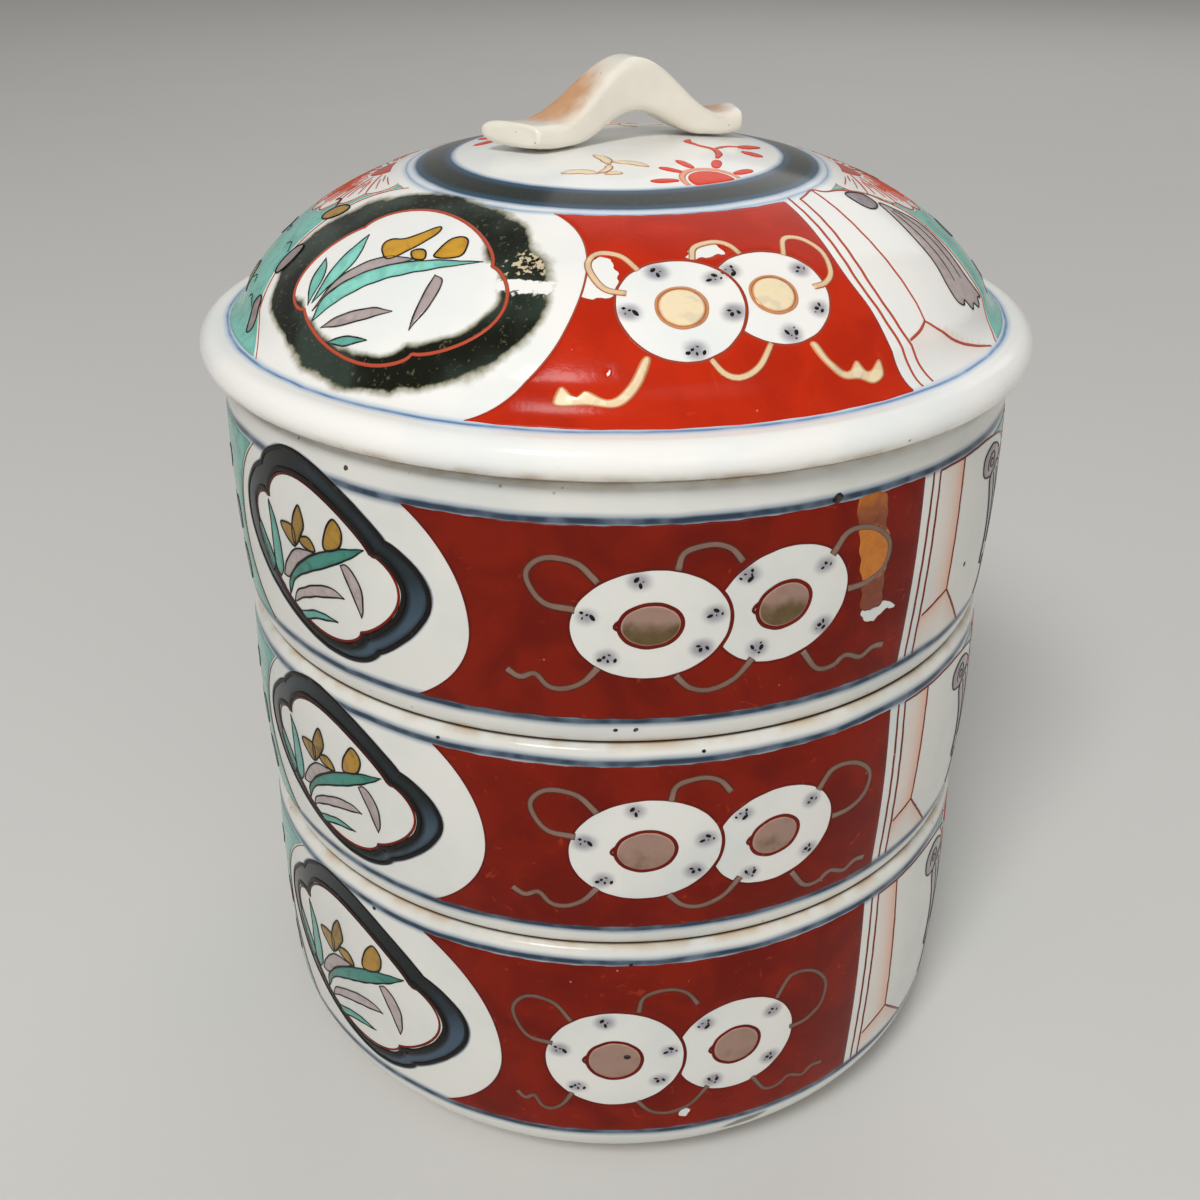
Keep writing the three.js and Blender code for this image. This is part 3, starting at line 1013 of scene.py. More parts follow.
def peach(body, surface, angle, along):
    """Strength of the peach wash beside the panel's fold and under its foot."""
    plan = LAYOUTS[body]
    fold = np.array(plan.fold[::-1])
    ruled = np.array(plan.lines[1][::-1])
    foot = np.array([plan.branches[0][-1], plan.fold[-1], plan.branches[1][-1]])
    wall = 0.0 if plan.lid else 0.85
    ground = 0.25 if plan.lid else 0.7
    fade = 3.2
    wash = np.zeros(len(angle))
    for side in both_sides(angle):
        turn = np.degrees(side)
        gap = np.radians(np.interp(along, fold[:, 1], fold[:, 0]) - turn)
        gap = gap * surface.radius_at(along)
        roof = np.interp(turn, foot[:, 0], foot[:, 1])
        inner = (turn > np.interp(along, ruled[:, 1], ruled[:, 0])) & (along < plan.red[1])
        on_wall = inner & (gap > 0.0) & (along > roof)
        on_ground = inner & (turn < foot[2, 0]) & (along < roof) & (along > plan.red[0])
        wash = np.maximum(wash, np.where(on_wall, wall * np.exp(-gap / fade), 0.0))
        wash = np.maximum(wash, np.where(on_ground, ground * np.exp((along - roof) / fade), 0.0))
    return wash


def make_object(name, points, faces, kind, body, attributes=()):
    """A smooth mesh piece that rides its body."""
    mesh = bpy.data.meshes.new(name)
    mesh.from_pydata((np.asarray(points) * MM).tolist(), [], faces)
    for label, values in attributes:
        mesh.attributes.new(label, "FLOAT", "POINT").data.foreach_set("value", values)
    mesh.polygons.foreach_set("use_smooth", np.ones(len(mesh.polygons), bool))
    mesh.materials.append(material_of(kind))
    mesh.validate()
    piece = bpy.data.objects.new(name, mesh)
    bpy.context.collection.objects.link(piece)
    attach(piece, body)
    return piece


def turned(section, seat):
    """Points and faces of a section turned about the axis, which it starts and ends on."""
    angle = np.linspace(0.0, 2 * math.pi, TURN_STEPS, endpoint=False)
    rows = section[1:-1]
    radius = rows[:, :1]
    points = np.stack([radius * np.sin(angle), -radius * np.cos(angle),
                       np.repeat(rows[:, 1:] + seat, TURN_STEPS, axis=1)], axis=2)
    points = points.reshape(-1, 3)
    here = np.arange(TURN_STEPS)
    ahead = (here + 1) % TURN_STEPS
    faces = []
    for row in range(len(rows) - 1):
        low = row * TURN_STEPS
        high = low + TURN_STEPS
        faces += np.column_stack([low + here, low + ahead, high + ahead, high + here]).tolist()
    first = len(points)
    faces += [[first, b, a] for a, b in zip(here.tolist(), ahead.tolist())]
    top = (len(rows) - 1) * TURN_STEPS
    faces += [[first + 1, top + a, top + b] for a, b in zip(here.tolist(), ahead.tolist())]
    ends = [[0.0, 0.0, section[0, 1] + seat], [0.0, 0.0, section[-1, 1] + seat]]
    return np.vstack([points, ends]), faces, angle


def painted_attributes(body, section, angle, along, rim, bare):
    """What the porcelain's material needs to know at every point of a turned piece."""
    plan = LAYOUTS[body]
    surface = surface_of(body)
    unpainted = {"low_line": -FAR, "high_line": FAR, "band_depth": -FAR, "blot_depth": -FAR,
                 "rim": FAR, "band_kind": float(plan.lid)}
    rows = slice(1, -1)
    wide_along = np.repeat(along[rows], TURN_STEPS)
    at = np.flatnonzero(np.isfinite(wide_along))
    turn = np.tile(angle, len(section) - 2)[at]
    height = wide_along[at]
    seen = (body, surface, turn, height)
    depth, wash, worn = frame_marks(*seen)
    kind = np.full(len(at), float(plan.lid))
    from_high = height - plan.high_line
    if plan.lid:
        radius = np.repeat(section[rows, 0], TURN_STEPS)[at]
        x, y = RING_MIDDLE
        out = np.hypot(radius * np.sin(turn) - x, radius * np.cos(turn) + y)
        ring = np.minimum(RING_OUTSIDE - out, out - RING_INSIDE)
        from_high = RING_LINE - out
        wash = np.where(ring > depth, 0.0, wash)
        kind = np.where(ring > depth, 0.5, kind)
        depth = np.maximum(depth, ring)
    if body == "lower_tier":
        place, level, half_width, half_height, lean, strength = BURN
        spot = about(surface, wrapped(turn), height, (place, level))
        burn = bump(spot[:, 0], half_width) * bump(spot[:, 1] - lean * spot[:, 0], half_height)
        worn = np.maximum(worn, np.minimum(1.0, strength * burn))
    shown = {"low_line": height - plan.low_line, "high_line": from_high, "band_depth": depth,
             "band_kind": kind, "wash": wash, "worn": worn, "blot_depth": blot_depth(*seen),
             "peach": peach(*seen)}
    marks = []
    for name in PORCELAIN_MARKS:
        values = np.full(len(wide_along) + 2, unpainted.get(name, 0.0))
        if name in shown:
            values[at] = shown[name]
        else:
            values[:-2] = np.repeat({"rim": rim, "bare": bare}[name][rows], TURN_STEPS)
        marks.append((name, values))
    return marks


def make_turned(node, section, along, rim, bare):
    """A turned and painted piece in place of its CAD node."""
    points, faces, angle = turned(section, seat_of(node))
    attributes = painted_attributes(node, section, angle, along, rim, bare)
    piece = make_object(node + "_porcelain", points, faces, "porcelain", node,
                        attributes)
    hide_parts(node)


def build_tier(node):
    """One turned tier with its lip, floor and nesting or foot ring."""
    seam_from = 0.15
    unwiped = 0.3
    under, outside, within = tier_sections(node)
    section = np.vstack([under, outside, within])
    height = outside[-1, 1]
    along = np.concatenate([np.full(len(under), np.nan), outside[:, 1],
                            np.full(len(within), np.nan)])
    contact = size("tier_radius") - TIER_SHAPES["upper_tier"].corner_width
    start = size("tier_radius") - TIER_SHAPES[node].corner_width
    from_lip = np.hypot(np.maximum(0.0, section[:, 0] - contact), height - section[:, 1])
    from_seat = np.hypot(section[:, 0] - start, section[:, 1])
    from_seat = np.where(np.isfinite(along), from_seat, FAR)
    rim = np.minimum(from_lip, from_seat) + seam_from
    on_lip = (np.abs(section[:, 1] - height) < LEVEL) & (section[:, 0] < contact - unwiped)
    on_ring = section[:, 1] < RING_BARE - TIER_SHAPES[node].ring_depth
    bare = np.where(on_lip | on_ring, 1.0, 0.0)
    make_turned(node, section, along, rim, bare)


def build_lid():
    """The domed lid with its rounded brim and nesting ring."""
    under, edge, over = lid_sections()
    section = np.vstack([under, edge, over])
    surface = lid_surface()
    along = np.concatenate([np.full(len(under) + len(edge), np.nan), surface.along])
    seam_from = 0.2
    rim = section[:, 1] - edge[0, 1] + seam_from
    rim = np.where(np.arange(len(section)) < len(under), FAR, rim)
    on_ring = section[:, 1] < RING_BARE - LID_RING_DEPTH
    bare = np.where(on_ring | (np.abs(section[:, 1]) < LEVEL), 1.0, 0.0)
    make_turned("lid", section, along, rim, bare)


def handle_stations(half):
    """Places along the handle with how far its section draws in there, ends rounded and closed."""
    rounding = 1.0
    reach = half - rounding
    steps = np.linspace(-1.0, 1.0, 91)
    body = [(reach * (0.65 * t + 0.35 * math.sin(math.pi * t / 2)), 0.0, 1.0) for t in steps]
    end = []
    for turn in np.radians((25.0, 50.0, 72.0, 90.0)):
        end.append((reach + rounding * math.sin(turn), rounding * (1 - math.cos(turn)), 1.0))
    end += [(half + 0.06, rounding, 0.75), (half + 0.1, rounding, 0.4)]
    near = [(-station, inset, share) for station, inset, share in reversed(end)]
    return near + body + end


def build_handle():
    """The strap handle: an arch with two lifted tongues, laid on the dome by hand."""
    half = size("handle_length") / 2
    thickness = size("handle_thickness")
    offset = 2.3
    joint = 0.3
    opening = 4.6
    rise = 14.1
    end_run = 7.0
    end_lift = 1.2
    skew = 5.0
    under_span = 14.2
    over_span = 18.5
    tan_slopes = ((-12.5, 11.5, 1.2), (18.5, 6.5, 1.1))
    waist_squareness = 0.38
    end_softness = 0.3
    turn_of_handle = math.radians(30.0)
    surface = lid_surface()
    turn = np.linspace(0.0, 2 * math.pi, 56, endpoint=False)
    rings = []
    tans = []
    for station, inset, share in handle_stations(half):
        squareness = waist_squareness + end_softness * (station / half) ** 4
        across = np.sign(np.cos(turn)) * np.abs(np.cos(turn)) ** squareness
        up = np.sign(np.sin(turn)) * np.abs(np.sin(turn)) ** squareness
        along = station + offset
        ground = np.interp(-abs(along), -surface.radius, surface.height) + joint
        lift = end_lift * (max(0.0, abs(station) - half + end_run) / end_run) ** 2
        low = ground + opening * bump(station, under_span) + lift
        high = ground + thickness + lift + (rise - thickness - joint) * bump(station, over_span)
        narrowing = size("handle_ends") - size("handle_width")
        width = size("handle_ends") - narrowing * bump(station, half)
        x = along + skew / 2 * across * share * (station / half) ** 2 * math.copysign(1, station)
        y = (width / 2 - inset) * across * share
        z = (low + high) / 2 + ((high - low) / 2 - inset) * up * share
        rings.append(np.column_stack([leaned(x, y, turn_of_handle), z]))
        slope = max(strength * bump(station - at, reach) for at, reach, strength in tan_slopes)
        brushed = unit(1.4 * up - 0.3) * unit(0.8 + 0.6 * across)
        tans.append(brushed * slope * share)
    count = len(turn)
    points = np.vstack(rings)
    faces = []
    for i in range(len(rings) - 1):
        for k in range(count):
            m = (k + 1) % count
            faces.append([(i + 1) * count + k, (i + 1) * count + m, i * count + m, i * count + k])
    last = (len(rings) - 1) * count
    middle = len(points)
    points = np.vstack([points, rings[0].mean(axis=0), rings[-1].mean(axis=0)])
    for k in range(count):
        m = (k + 1) % count
        faces.append([k, m, middle])
        faces.append([last + m, last + k, middle + 1])
    tan = np.concatenate([*tans, [0.0, 0.0]])
    piece = make_object("lid_handle_porcelain", points, faces, "handle", "lid",
                        [("tan", tan)])
    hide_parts("lid_handle")


def paint_plant(coats, chart, plan):
    """Leaves, petals and bud inside the medallion, each with a fine black outline."""
    leaves, petals = (LID_LEAVES, LID_PETALS) if plan.lid else (TIER_LEAVES, TIER_PETALS)
    line = size("outline_width") * (0.85 if plan.lid else 1.15)
    dry = 0.8 if plan.lid else 0.0
    black = coats["black"]
    laid = partial(chart.round, plan.frame_at)
    for number, (kind, tone, first, second) in enumerate(leaves):
        second = (first[0], *second, first[-1])
        sides = [smooth(plan.inside(side), 0.4) for side in (first, second)]
        loop = np.vstack([sides[0][:-1], sides[1][::-1][:-1]])
        coats[kind].patch(chart, laid(loop), tone=tone, spacing=1.0)
        for k, side in enumerate(sides):
            drawn = laid(unsteady(side, 0.07, number + k))
            black.stroke(chart, drawn, line, tone=dry, base=COAT, coat=LINE_COAT, ends=0.5)
    for number, petal in enumerate(petals):
        loop = smooth(plan.inside(petal), 0.35, closed=True)
        tone = 0.9 if plan.lid else 0.08 + 0.08 * number
        coats["ochre"].patch(chart, laid(loop), tone=tone, base=0.03, spacing=0.9)
        drawn = laid(unsteady(loop, 0.06, number))
        black.stroke(chart, drawn, 1.1 * line, tone=0.5 * dry, base=COAT + 0.03, coat=LINE_COAT,
                     closed=True)


def oval_edge(chart, plan, side, heights):
    """One side of the white oval round a medallion, at these heights."""
    reach, rise, fall = plan.oval_half
    drop = heights - plan.oval_at[1]
    share = np.clip(drop / np.where(drop > 0, rise, fall), -1.0, 1.0)
    across = side * reach * np.sqrt(1 - share ** 2)
    return chart.round(plan.oval_at, np.column_stack([across, drop]))


def lower_right_fade(loop):
    """A tone that brightens towards the lower right of a loop."""
    middle = loop.mean(axis=0)

    def tone(line):
        side = (line - middle) @ np.array([0.7, -0.7])
        return 1.0 - 0.55 * unit((side - 4.0) / 8.0)
    return tone


def paint_medallion(coats, chart, plan):
    """The lines along the dark frame, the plant inside it, and the oval's far edge."""
    outer, inner = frame_loops(plan)
    red = coats["red"]
    black = coats["black"]
    laid = partial(chart.round, plan.frame_at)
    if plan.lid:
        red.stroke(chart, laid(inner), width=0.65, thin=0.75, base=0.02, closed=True)
    else:
        for loop, width in ((outer * 0.975, 0.9), (inner, 1.1)):
            drawn = unsteady(loop, 0.12, 9.0, pace=0.6)
            black.stroke(chart, laid(drawn), width, closed=True)
        for cusp, _ in TIER_FRAME[1]:
            blob = plan.inside(ellipse((1.1, 0.9), steps=24) + np.multiply(cusp, 1.02))
            black.patch(chart, laid(blob), spacing=0.7, coat=0.05)
        drawn = laid(inner * 0.955)
        red.stroke(chart, drawn, width=0.55, tone=lower_right_fade(drawn), closed=True)
    paint_plant(coats, chart, plan)
    heights = np.linspace(plan.red[0], plan.red[1], 50)
    red.stroke(chart, oval_edge(chart, plan, -1, heights), width=0.4, tone=0.6, thin=0.6 * plan.lid)


def roundel_loops(chart, plan):
    """Outlines of the two white roundels on the sheet, the right one tucked behind the left."""
    left = plan.left_roundel
    right = plan.right_roundel
    cover = ellipse(np.add(left.half, 0.05 if plan.lid else 0.15), left.tilt, steps=120)
    near = unsteady(ellipse(left.half, left.tilt, steps=120), 0.04, 3.0)
    far = unsteady(ellipse(right.half, right.tilt, steps=120), 0.04, 4.0)
    far = less(chart.round(right.centre, far), chart.round(left.centre, cover))
    return chart.round(left.centre, near), far


def flaked(chart, body):
    """Ragged outlines where the red has come off the front of a body."""
    if not chart.front:
        return []
    loops = [smooth(chart.at(points), 0.4, closed=True) for points in FLAKES.get(body, ())]
    return [unsteady(loop, 0.35, number, pace=2.6) for number, loop in enumerate(loops)]


def paint_red_ground(coats, chart, plan, body):
    """The red field with its two white roundels left open."""
    low, high = plan.red
    red = coats["red"]
    side = smooth(chart.at(plan.red_end[::-1]), 1.0)
    arc = oval_edge(chart, plan, 1, np.linspace(low, high, 60))
    bottom = unsteady(even([arc[0], side[0]], 1.0), 0.10, 1.0)
    top = unsteady(even([side[-1], arc[-1]], 1.0), 0.10, 2.0)
    outline = np.vstack([bottom[:-1], side[:-1], top[:-1], arc[::-1][:-1]])
    roundels = roundel_loops(chart, plan)
    # Tone 0 gives the lid's red, brighter as painted light; 0.4 the tiers' red, darker as painted
    # shade
    ground = 0.0 if plan.lid else 0.4
    red.patch(chart, outline, [*roundels, *flaked(chart, body)], tone=ground, coat=RED_COAT,
              spacing=plan.spacing)
    for loop in roundels:
        red.stroke(chart, loop, width=0.5, tone=0.3 if plan.lid else 0.7, thin=0.4 * plan.lid,
                   closed=True)
    red.stroke(chart, arc, width=0.35, tone=0.7, thin=0.6 * plan.lid, base=0.02)


def dusk(loop, strength):
    """A shade that deepens towards the foot of a disc."""
    low, high = loop[:, 1].min(), loop[:, 1].max()

    def shade(sheet):
        share = unit((0.55 * (low + high) - sheet[:, 1]) / (0.5 * (high - low)))
        return 0.15 + 0.85 * strength * share
    return shade


def paint_roundels(coats, chart, plan, body):
    """Gilded discs, their rings and gilded scrolls."""
    gold = coats["gold"]
    red = coats["red"]
    # Tone 1 gives the lid's pale cream gold, partly a painted highlight
    bright = float(plan.lid)
    width = size("gilding_width") * plan.scroll_width
    for roundel, scrolls in (
            (plan.left_roundel, LEFT_SCROLLS[:3] if plan.lid else LEFT_SCROLLS),
            (plan.right_roundel, RIGHT_SCROLLS[:1] if plan.lid else RIGHT_SCROLLS)):
        laid = partial(chart.round, roundel.centre)
        disc = ellipse(np.multiply(roundel.half, DISC_SHARE), roundel.tilt)
        shade = 0.0 if plan.lid else dusk(laid(disc), DISC_SHADE[body])
        gold.patch(chart, laid(disc), tone=bright, thin=shade, spacing=0.8)
        ring = laid(unsteady(disc * 1.06, 0.06, 5.0))
        if plan.lid:
            gold.stroke(chart, ring, width=0.45, tone=bright, base=0.03, closed=True)
        else:
            red.stroke(chart, ring, width=0.65, tone=0.65, base=0.03, closed=True)
            tail = np.array([(-1.04, 0.3), (-1.2, -0.02), (-1.06, -0.25)])
            tail = laid(smooth(tail * roundel.half * DISC_SHARE, 0.3))
            red.stroke(chart, tail, width=0.55, tone=0.65, base=0.03)
        left, right, rise, fall = roundel.scroll
        for scroll in scrolls:
            path = np.array(scroll)
            if path[-1, 0] < -1.8:
                path[:, 0] = path[0, 0] + (path[:, 0] - path[0, 0]) * plan.tail
            path *= np.column_stack([np.where(path[:, 0] > 0, right, left),
                                     np.where(path[:, 1] > 0, rise, fall)])
            gold.stroke(chart, laid(smooth(path, 0.5)), width, tone=bright, base=OVER_RED,
                        ends=0.9 if plan.lid else 1.25)
    if plan.lid:
        for tail in LID_TAILS:
            tail = smooth(chart.at(tail), 0.4, closed=True)
            gold.patch(chart, tail, tone=bright, base=OVER_RED, spacing=0.8)


def paint_specks(coats, chart, plan, body):
    """Specks in the blots, and iron spots in the glaze."""
    black = coats["black"]
    if body == "lower_tier" and chart.front:
        spot = chart.round(np.add(plan.left_roundel.centre, (1.8, 1.0)), ellipse((0.7, 0.6)))
        black.patch(chart, spot, tone=0.7, base=COAT, spacing=0.5, coat=0.03)
    for number, (centre, (x, y)) in enumerate(blots(body)):
        for k in range(3 + number % 3):
            turn = 2.4 * k + 1.3 * number
            out = 0.45 + 0.22 * k
            grain = 0.18 + 0.06 * ((5 * number + 3 * k) % 4)
            half = ((1.3 + 0.35 * (k % 3)) * grain, grain)
            speck = ellipse(half, 50.0 * k + 25.0 * number, steps=12)
            speck = speck + (x + 1.1 * out * math.cos(turn), y + 0.8 * out * math.sin(turn))
            black.patch(chart, chart.round(centre, speck), spacing=0.8, coat=LINE_COAT)
    if chart.front:
        for turn, height, half in IRON_SPOTS.get(body, ()):
            spot = unsteady(ellipse((1.2 * half, half), 20.0, steps=24), 0.2 * half, turn, pace=3.0)
            black.patch(chart, chart.round((turn, height), spot), tone=0.9, spacing=0.5, coat=0.02)


def paint_residue(coats, chart, plan):
    """Amber varnish that ran down over a scroll and dried."""
    roundel = plan.right_roundel
    ring = smooth(np.multiply(RIGHT_SCROLLS[0], roundel.half), 0.5)
    ring = chart.round(roundel.centre, ring)
    edge = unsteady(smooth(chart.at(RESIDUE), 0.5, closed=True), 0.2, 4.0, pace=1.6)

    def over_red(sheet):
        thick = np.maximum(inside(sheet, ring), 0.55 * unit((sheet[:, 1] - 35.0) / 5.0))
        return 1.0 - thick
    coats["residue"].patch(chart, edge, tone=over_red, coat=0.03, base=RED_COAT + 0.005,
                           spacing=0.7)


def on_panel(plan, loop, turn=0.0):
    """Angles and heights of a line given by shares of the painted height."""
    low, high = plan.red
    return [(angle + turn, low + share * (high - low)) for angle, share in loop]


def paint_panel(coats, chart, plan):
    """The white panel beside the red field: ruled lines, a folded corner and a hanging ribbon."""
    red = coats["red"]
    black = coats["black"]
    tone, watery = (0.4, 0.75) if plan.lid else (0.85, 0.12)
    branches = [(plan.fold[-1], *branch) for branch in plan.branches]
    edge = [plan.lines[1][0], plan.fold[0], *on_panel(plan, PANEL_EDGE)]
    for number, (points, width) in enumerate((
            (plan.lines[0], 0.6), (plan.lines[1], 0.6), (plan.fold, 0.52), (branches[0], 0.55),
            (branches[1], 0.55), (edge, 0.5))):
        line = unsteady(smooth(chart.at(points), 0.8), 0.05, 7.0 + number)
        red.stroke(chart, line, width, tone=tone, thin=watery, ends=0.8)
    ribbon, curl = (on_panel(plan, loop) for loop in (LID_RIBBON if plan.lid else TIER_RIBBON))
    dry = 0.6 if plan.lid else 0.0
    for points, tone in ((ribbon, 1.0 if plan.lid else 0.3), (curl, 0.3)):
        loop = smooth(chart.at(points), 0.5, closed=True)
        coats["aubergine"].patch(chart, loop, tone=tone, spacing=1.2)
        black.stroke(chart, loop, width=0.32, tone=dry, base=COAT, coat=LINE_COAT, closed=True)
    near = np.array(ribbon[:4])
    far = np.array(ribbon[-2:-6:-1])
    for share in (0.35, 0.68):
        crease = near * (1 - share) + far * share
        black.stroke(chart, smooth(chart.at(crease), 0.6), width=0.3, tone=dry, base=COAT)
    if not plan.lid:
        turn = np.linspace(0.0, 3.2 * math.pi, 40)
        spiral = (0.4 + 0.24 * turn)[:, None] * np.column_stack([np.cos(turn), 0.75 * np.sin(turn)])
        spiral = chart.round(np.mean(curl, axis=0), spiral)
        black.stroke(chart, spiral, width=0.36, base=COAT)


def paint_green_field(coats, chart, plan):
    """The green field behind the medallion, with fruit and a half chrysanthemum."""
    low, high = plan.red
    place, reach = plan.flower
    laid = partial(chart.round, (place, high))
    petals = 8
    turn = np.linspace(math.pi, 2 * math.pi, petals * 8 + 1)
    scallop = reach * (1 + 0.10 * np.abs(np.sin(petals * (turn - math.pi))))
    rim = np.column_stack([scallop * np.cos(turn), scallop * np.sin(turn)])
    rim[:, 1] = np.minimum(rim[:, 1], -0.4)
    arc = oval_edge(chart, plan, -1, np.linspace(low, high - 0.4, 50)) - (0.7, 0.0)
    near = smooth(chart.at(on_panel(plan, PANEL_EDGE, -180.0)), 0.8) + (0.7, 0.0)
    outer_rim = laid(rim * 1.03)
    start = np.interp(outer_rim[:, 1], near[::-1, 1], near[::-1, 0])
    clear = outer_rim[outer_rim[:, 0] > start + 0.8]
    near = near[near[:, 1] < clear[0, 1] - 0.5]
    outline = np.vstack([even([near[-1], arc[0]], 0.9)[:-1], arc, clear[::-1], near[:-1]])
    coats["green"].patch(chart, outline, tone=0.75 if plan.lid else 0.45, coat=TEAL_COAT,
                         spacing=plan.spacing)
    red = coats["red"]
    watery = 0.75 if plan.lid else 0.5
    red.stroke(chart, laid(rim), width=0.4, tone=0.3, thin=watery)
    for k in range(petals):
        for shift, start, end, width in PETAL_STROKES:
            if k == 0 and shift == -0.5:
                continue
            a = math.pi * (1 + (k + 0.5 + shift) / petals)
            ray = np.outer((start, end), (math.cos(a), math.sin(a))) * reach
            red.stroke(chart, laid(even(ray, 0.8)), width, tone=0.2, thin=watery)
    heart = ellipse((0.3 * reach, 0.3 * reach), steps=30, start=180.0, sweep=180.0)
    heart[:, 1] = np.minimum(heart[:, 1], -0.4)
    red.patch(chart, laid(heart), tone=0.1, thin=0.5)
    oval_reach = 24.0
    margin = 3.0
    start = PANEL_EDGE[5][0] - 180.0
    width = plan.oval_at[0] - oval_reach - start
    for number, (share, rise, kind) in enumerate(FRUIT):
        spot = (start + margin + share * width * 0.9, low + rise * (high - low))
        fruit = ellipse((3.4, 2.0), 35.0 + 50.0 * number, steps=28)
        coats[kind].patch(chart, chart.round(spot, fruit), tone=0.5, base=TEAL_COAT, spacing=1.2)
        drawn = chart.round(spot, fruit * 1.03)
        coats["black"].stroke(chart, drawn, width=0.3, base=TEAL_COAT + 0.05, closed=True)
        vein = smooth([(3.2, 0.5), (6.0, 2.0), (8.0, 1.0)], 0.6)
        drawn = chart.round(spot, vein if share < 0.7 else vein * (-1.0, 1.0))
        coats["black"].stroke(chart, drawn, width=0.32, base=TEAL_COAT)


def wedge(base, tip, width):
    """A narrow petal from its base to a blunt tip."""
    base = np.asarray(base, float)
    reach = np.subtract(tip, base)
    across = np.array((-reach[1], reach[0])) / np.hypot(*reach) * width / 2
    return smooth([base + 0.6 * across, base + 0.6 * reach + across, tip + 0.5 * across,
                   tip - 0.5 * across, base + 0.6 * reach - across, base - 0.6 * across], 0.3,
                  closed=True)


def paint_crown(coats, chart):
    """Half a chrysanthemum, a red sprig and a gilded sprig inside the dark ring, in plan."""
    red = coats["red"]
    gold = coats["gold"]
    middle = np.array(CROWN_FLOWER)
    inner = RING_INSIDE - 0.3
    disc = ellipse((4.2, 4.2), steps=60)
    clipped = disc + middle - RING_MIDDLE
    clipped = clipped * np.minimum(1.0, inner / np.hypot(*clipped.T))[:, None] + RING_MIDDLE
    red.patch(chart, clipped, tone=LIT_CROWN_TONE, spacing=1.4)
    rim = disc * 1.24 + middle
    rim = rim[np.hypot(*(rim - RING_MIDDLE).T) < inner]
    lead = int(np.argmax(np.hypot(*np.diff(np.vstack([rim, rim[:1]]), axis=0).T))) + 1
    red.stroke(chart, np.roll(rim, -lead, axis=0), width=1.2, thin=1.0, ends=0.8)
    for tip in CROWN_TIPS:
        base = middle + np.subtract(tip, middle) * 0.58
        red.patch(chart, wedge(base, tip, 1.9), tone=LIT_CROWN_TONE, spacing=0.9)
    for path, width in RED_SPRIG:
        red.stroke(chart, smooth(path, 0.5), width, tone=LIT_CROWN_TONE, thin=0.2)
    for path, width in GILDED_SPRIG:
        gold.stroke(chart, smooth(path, 0.5), width, tone=1.0, ends=0.25)


def paint_body(body):
    """Every enamel of one body, each as a piece of its own."""
    plan = LAYOUTS[body]
    surface = surface_of(body)
    coats = {name: Coat() for name in COAT_SLOTS}
    for turn in (0.0, 180.0):
        chart = Chart(surface, turn)
        paint_medallion(coats, chart, plan)
        paint_red_ground(coats, chart, plan, body)
        paint_roundels(coats, chart, plan, body)
        paint_specks(coats, chart, plan, body)
        paint_panel(coats, chart, plan)
        paint_green_field(coats, chart, plan)
        if plan.lid:
            paint_crown(coats, Chart(surface, turn, crown=True))
        if body == "upper_tier" and chart.front:
            paint_residue(coats, chart, plan)
    for name, coat in coats.items():
        if coat.count:
            marks = [(label, np.concatenate(values)) for label, values in coat.marks.items()]
            make_object(f"{body}_{name}", np.vstack(coat.points), coat.faces, name, body,
                        marks)


def add(tree, kind, settings, inputs=(), out=None):
    """A new shader node's output; inputs are set or linked by name or in the order they show."""
    node = tree.nodes.new("ShaderNode" + kind)
    for name, value in settings.items():
        setattr(node, name, value)
    shown = [place for place, socket in enumerate(node.inputs) if socket.enabled]
    given = inputs if isinstance(inputs, dict) else dict(zip(shown, inputs))
    for place, value in given.items():
        if isinstance(value, bpy.types.NodeSocket):
            tree.links.new(value, node.inputs[place])
        else:
            node.inputs[place].default_value = value
    return node.outputs[out] if out else next((s for s in node.outputs if s.enabled), None)


def per(millimetres):
    """Texture scale at which a pattern's features are this big."""
    return 1.0 / (millimetres * MM)


def rgba(code):
    """An sRGB hex code as a linear socket colour."""
    return (*linear(code), 1.0)


# Settings of nodes: a mix of colours, a soft step, and sums that read a*b, a*b+c and so on
COLOURS = {"data_type": "RGBA"}
EASED = {"interpolation_type": "SMOOTHSTEP"}
TIMES = {"operation": "MULTIPLY"}
TIMES_PLUS = {"operation": "MULTIPLY_ADD"}
MINUS = {"operation": "SUBTRACT"}


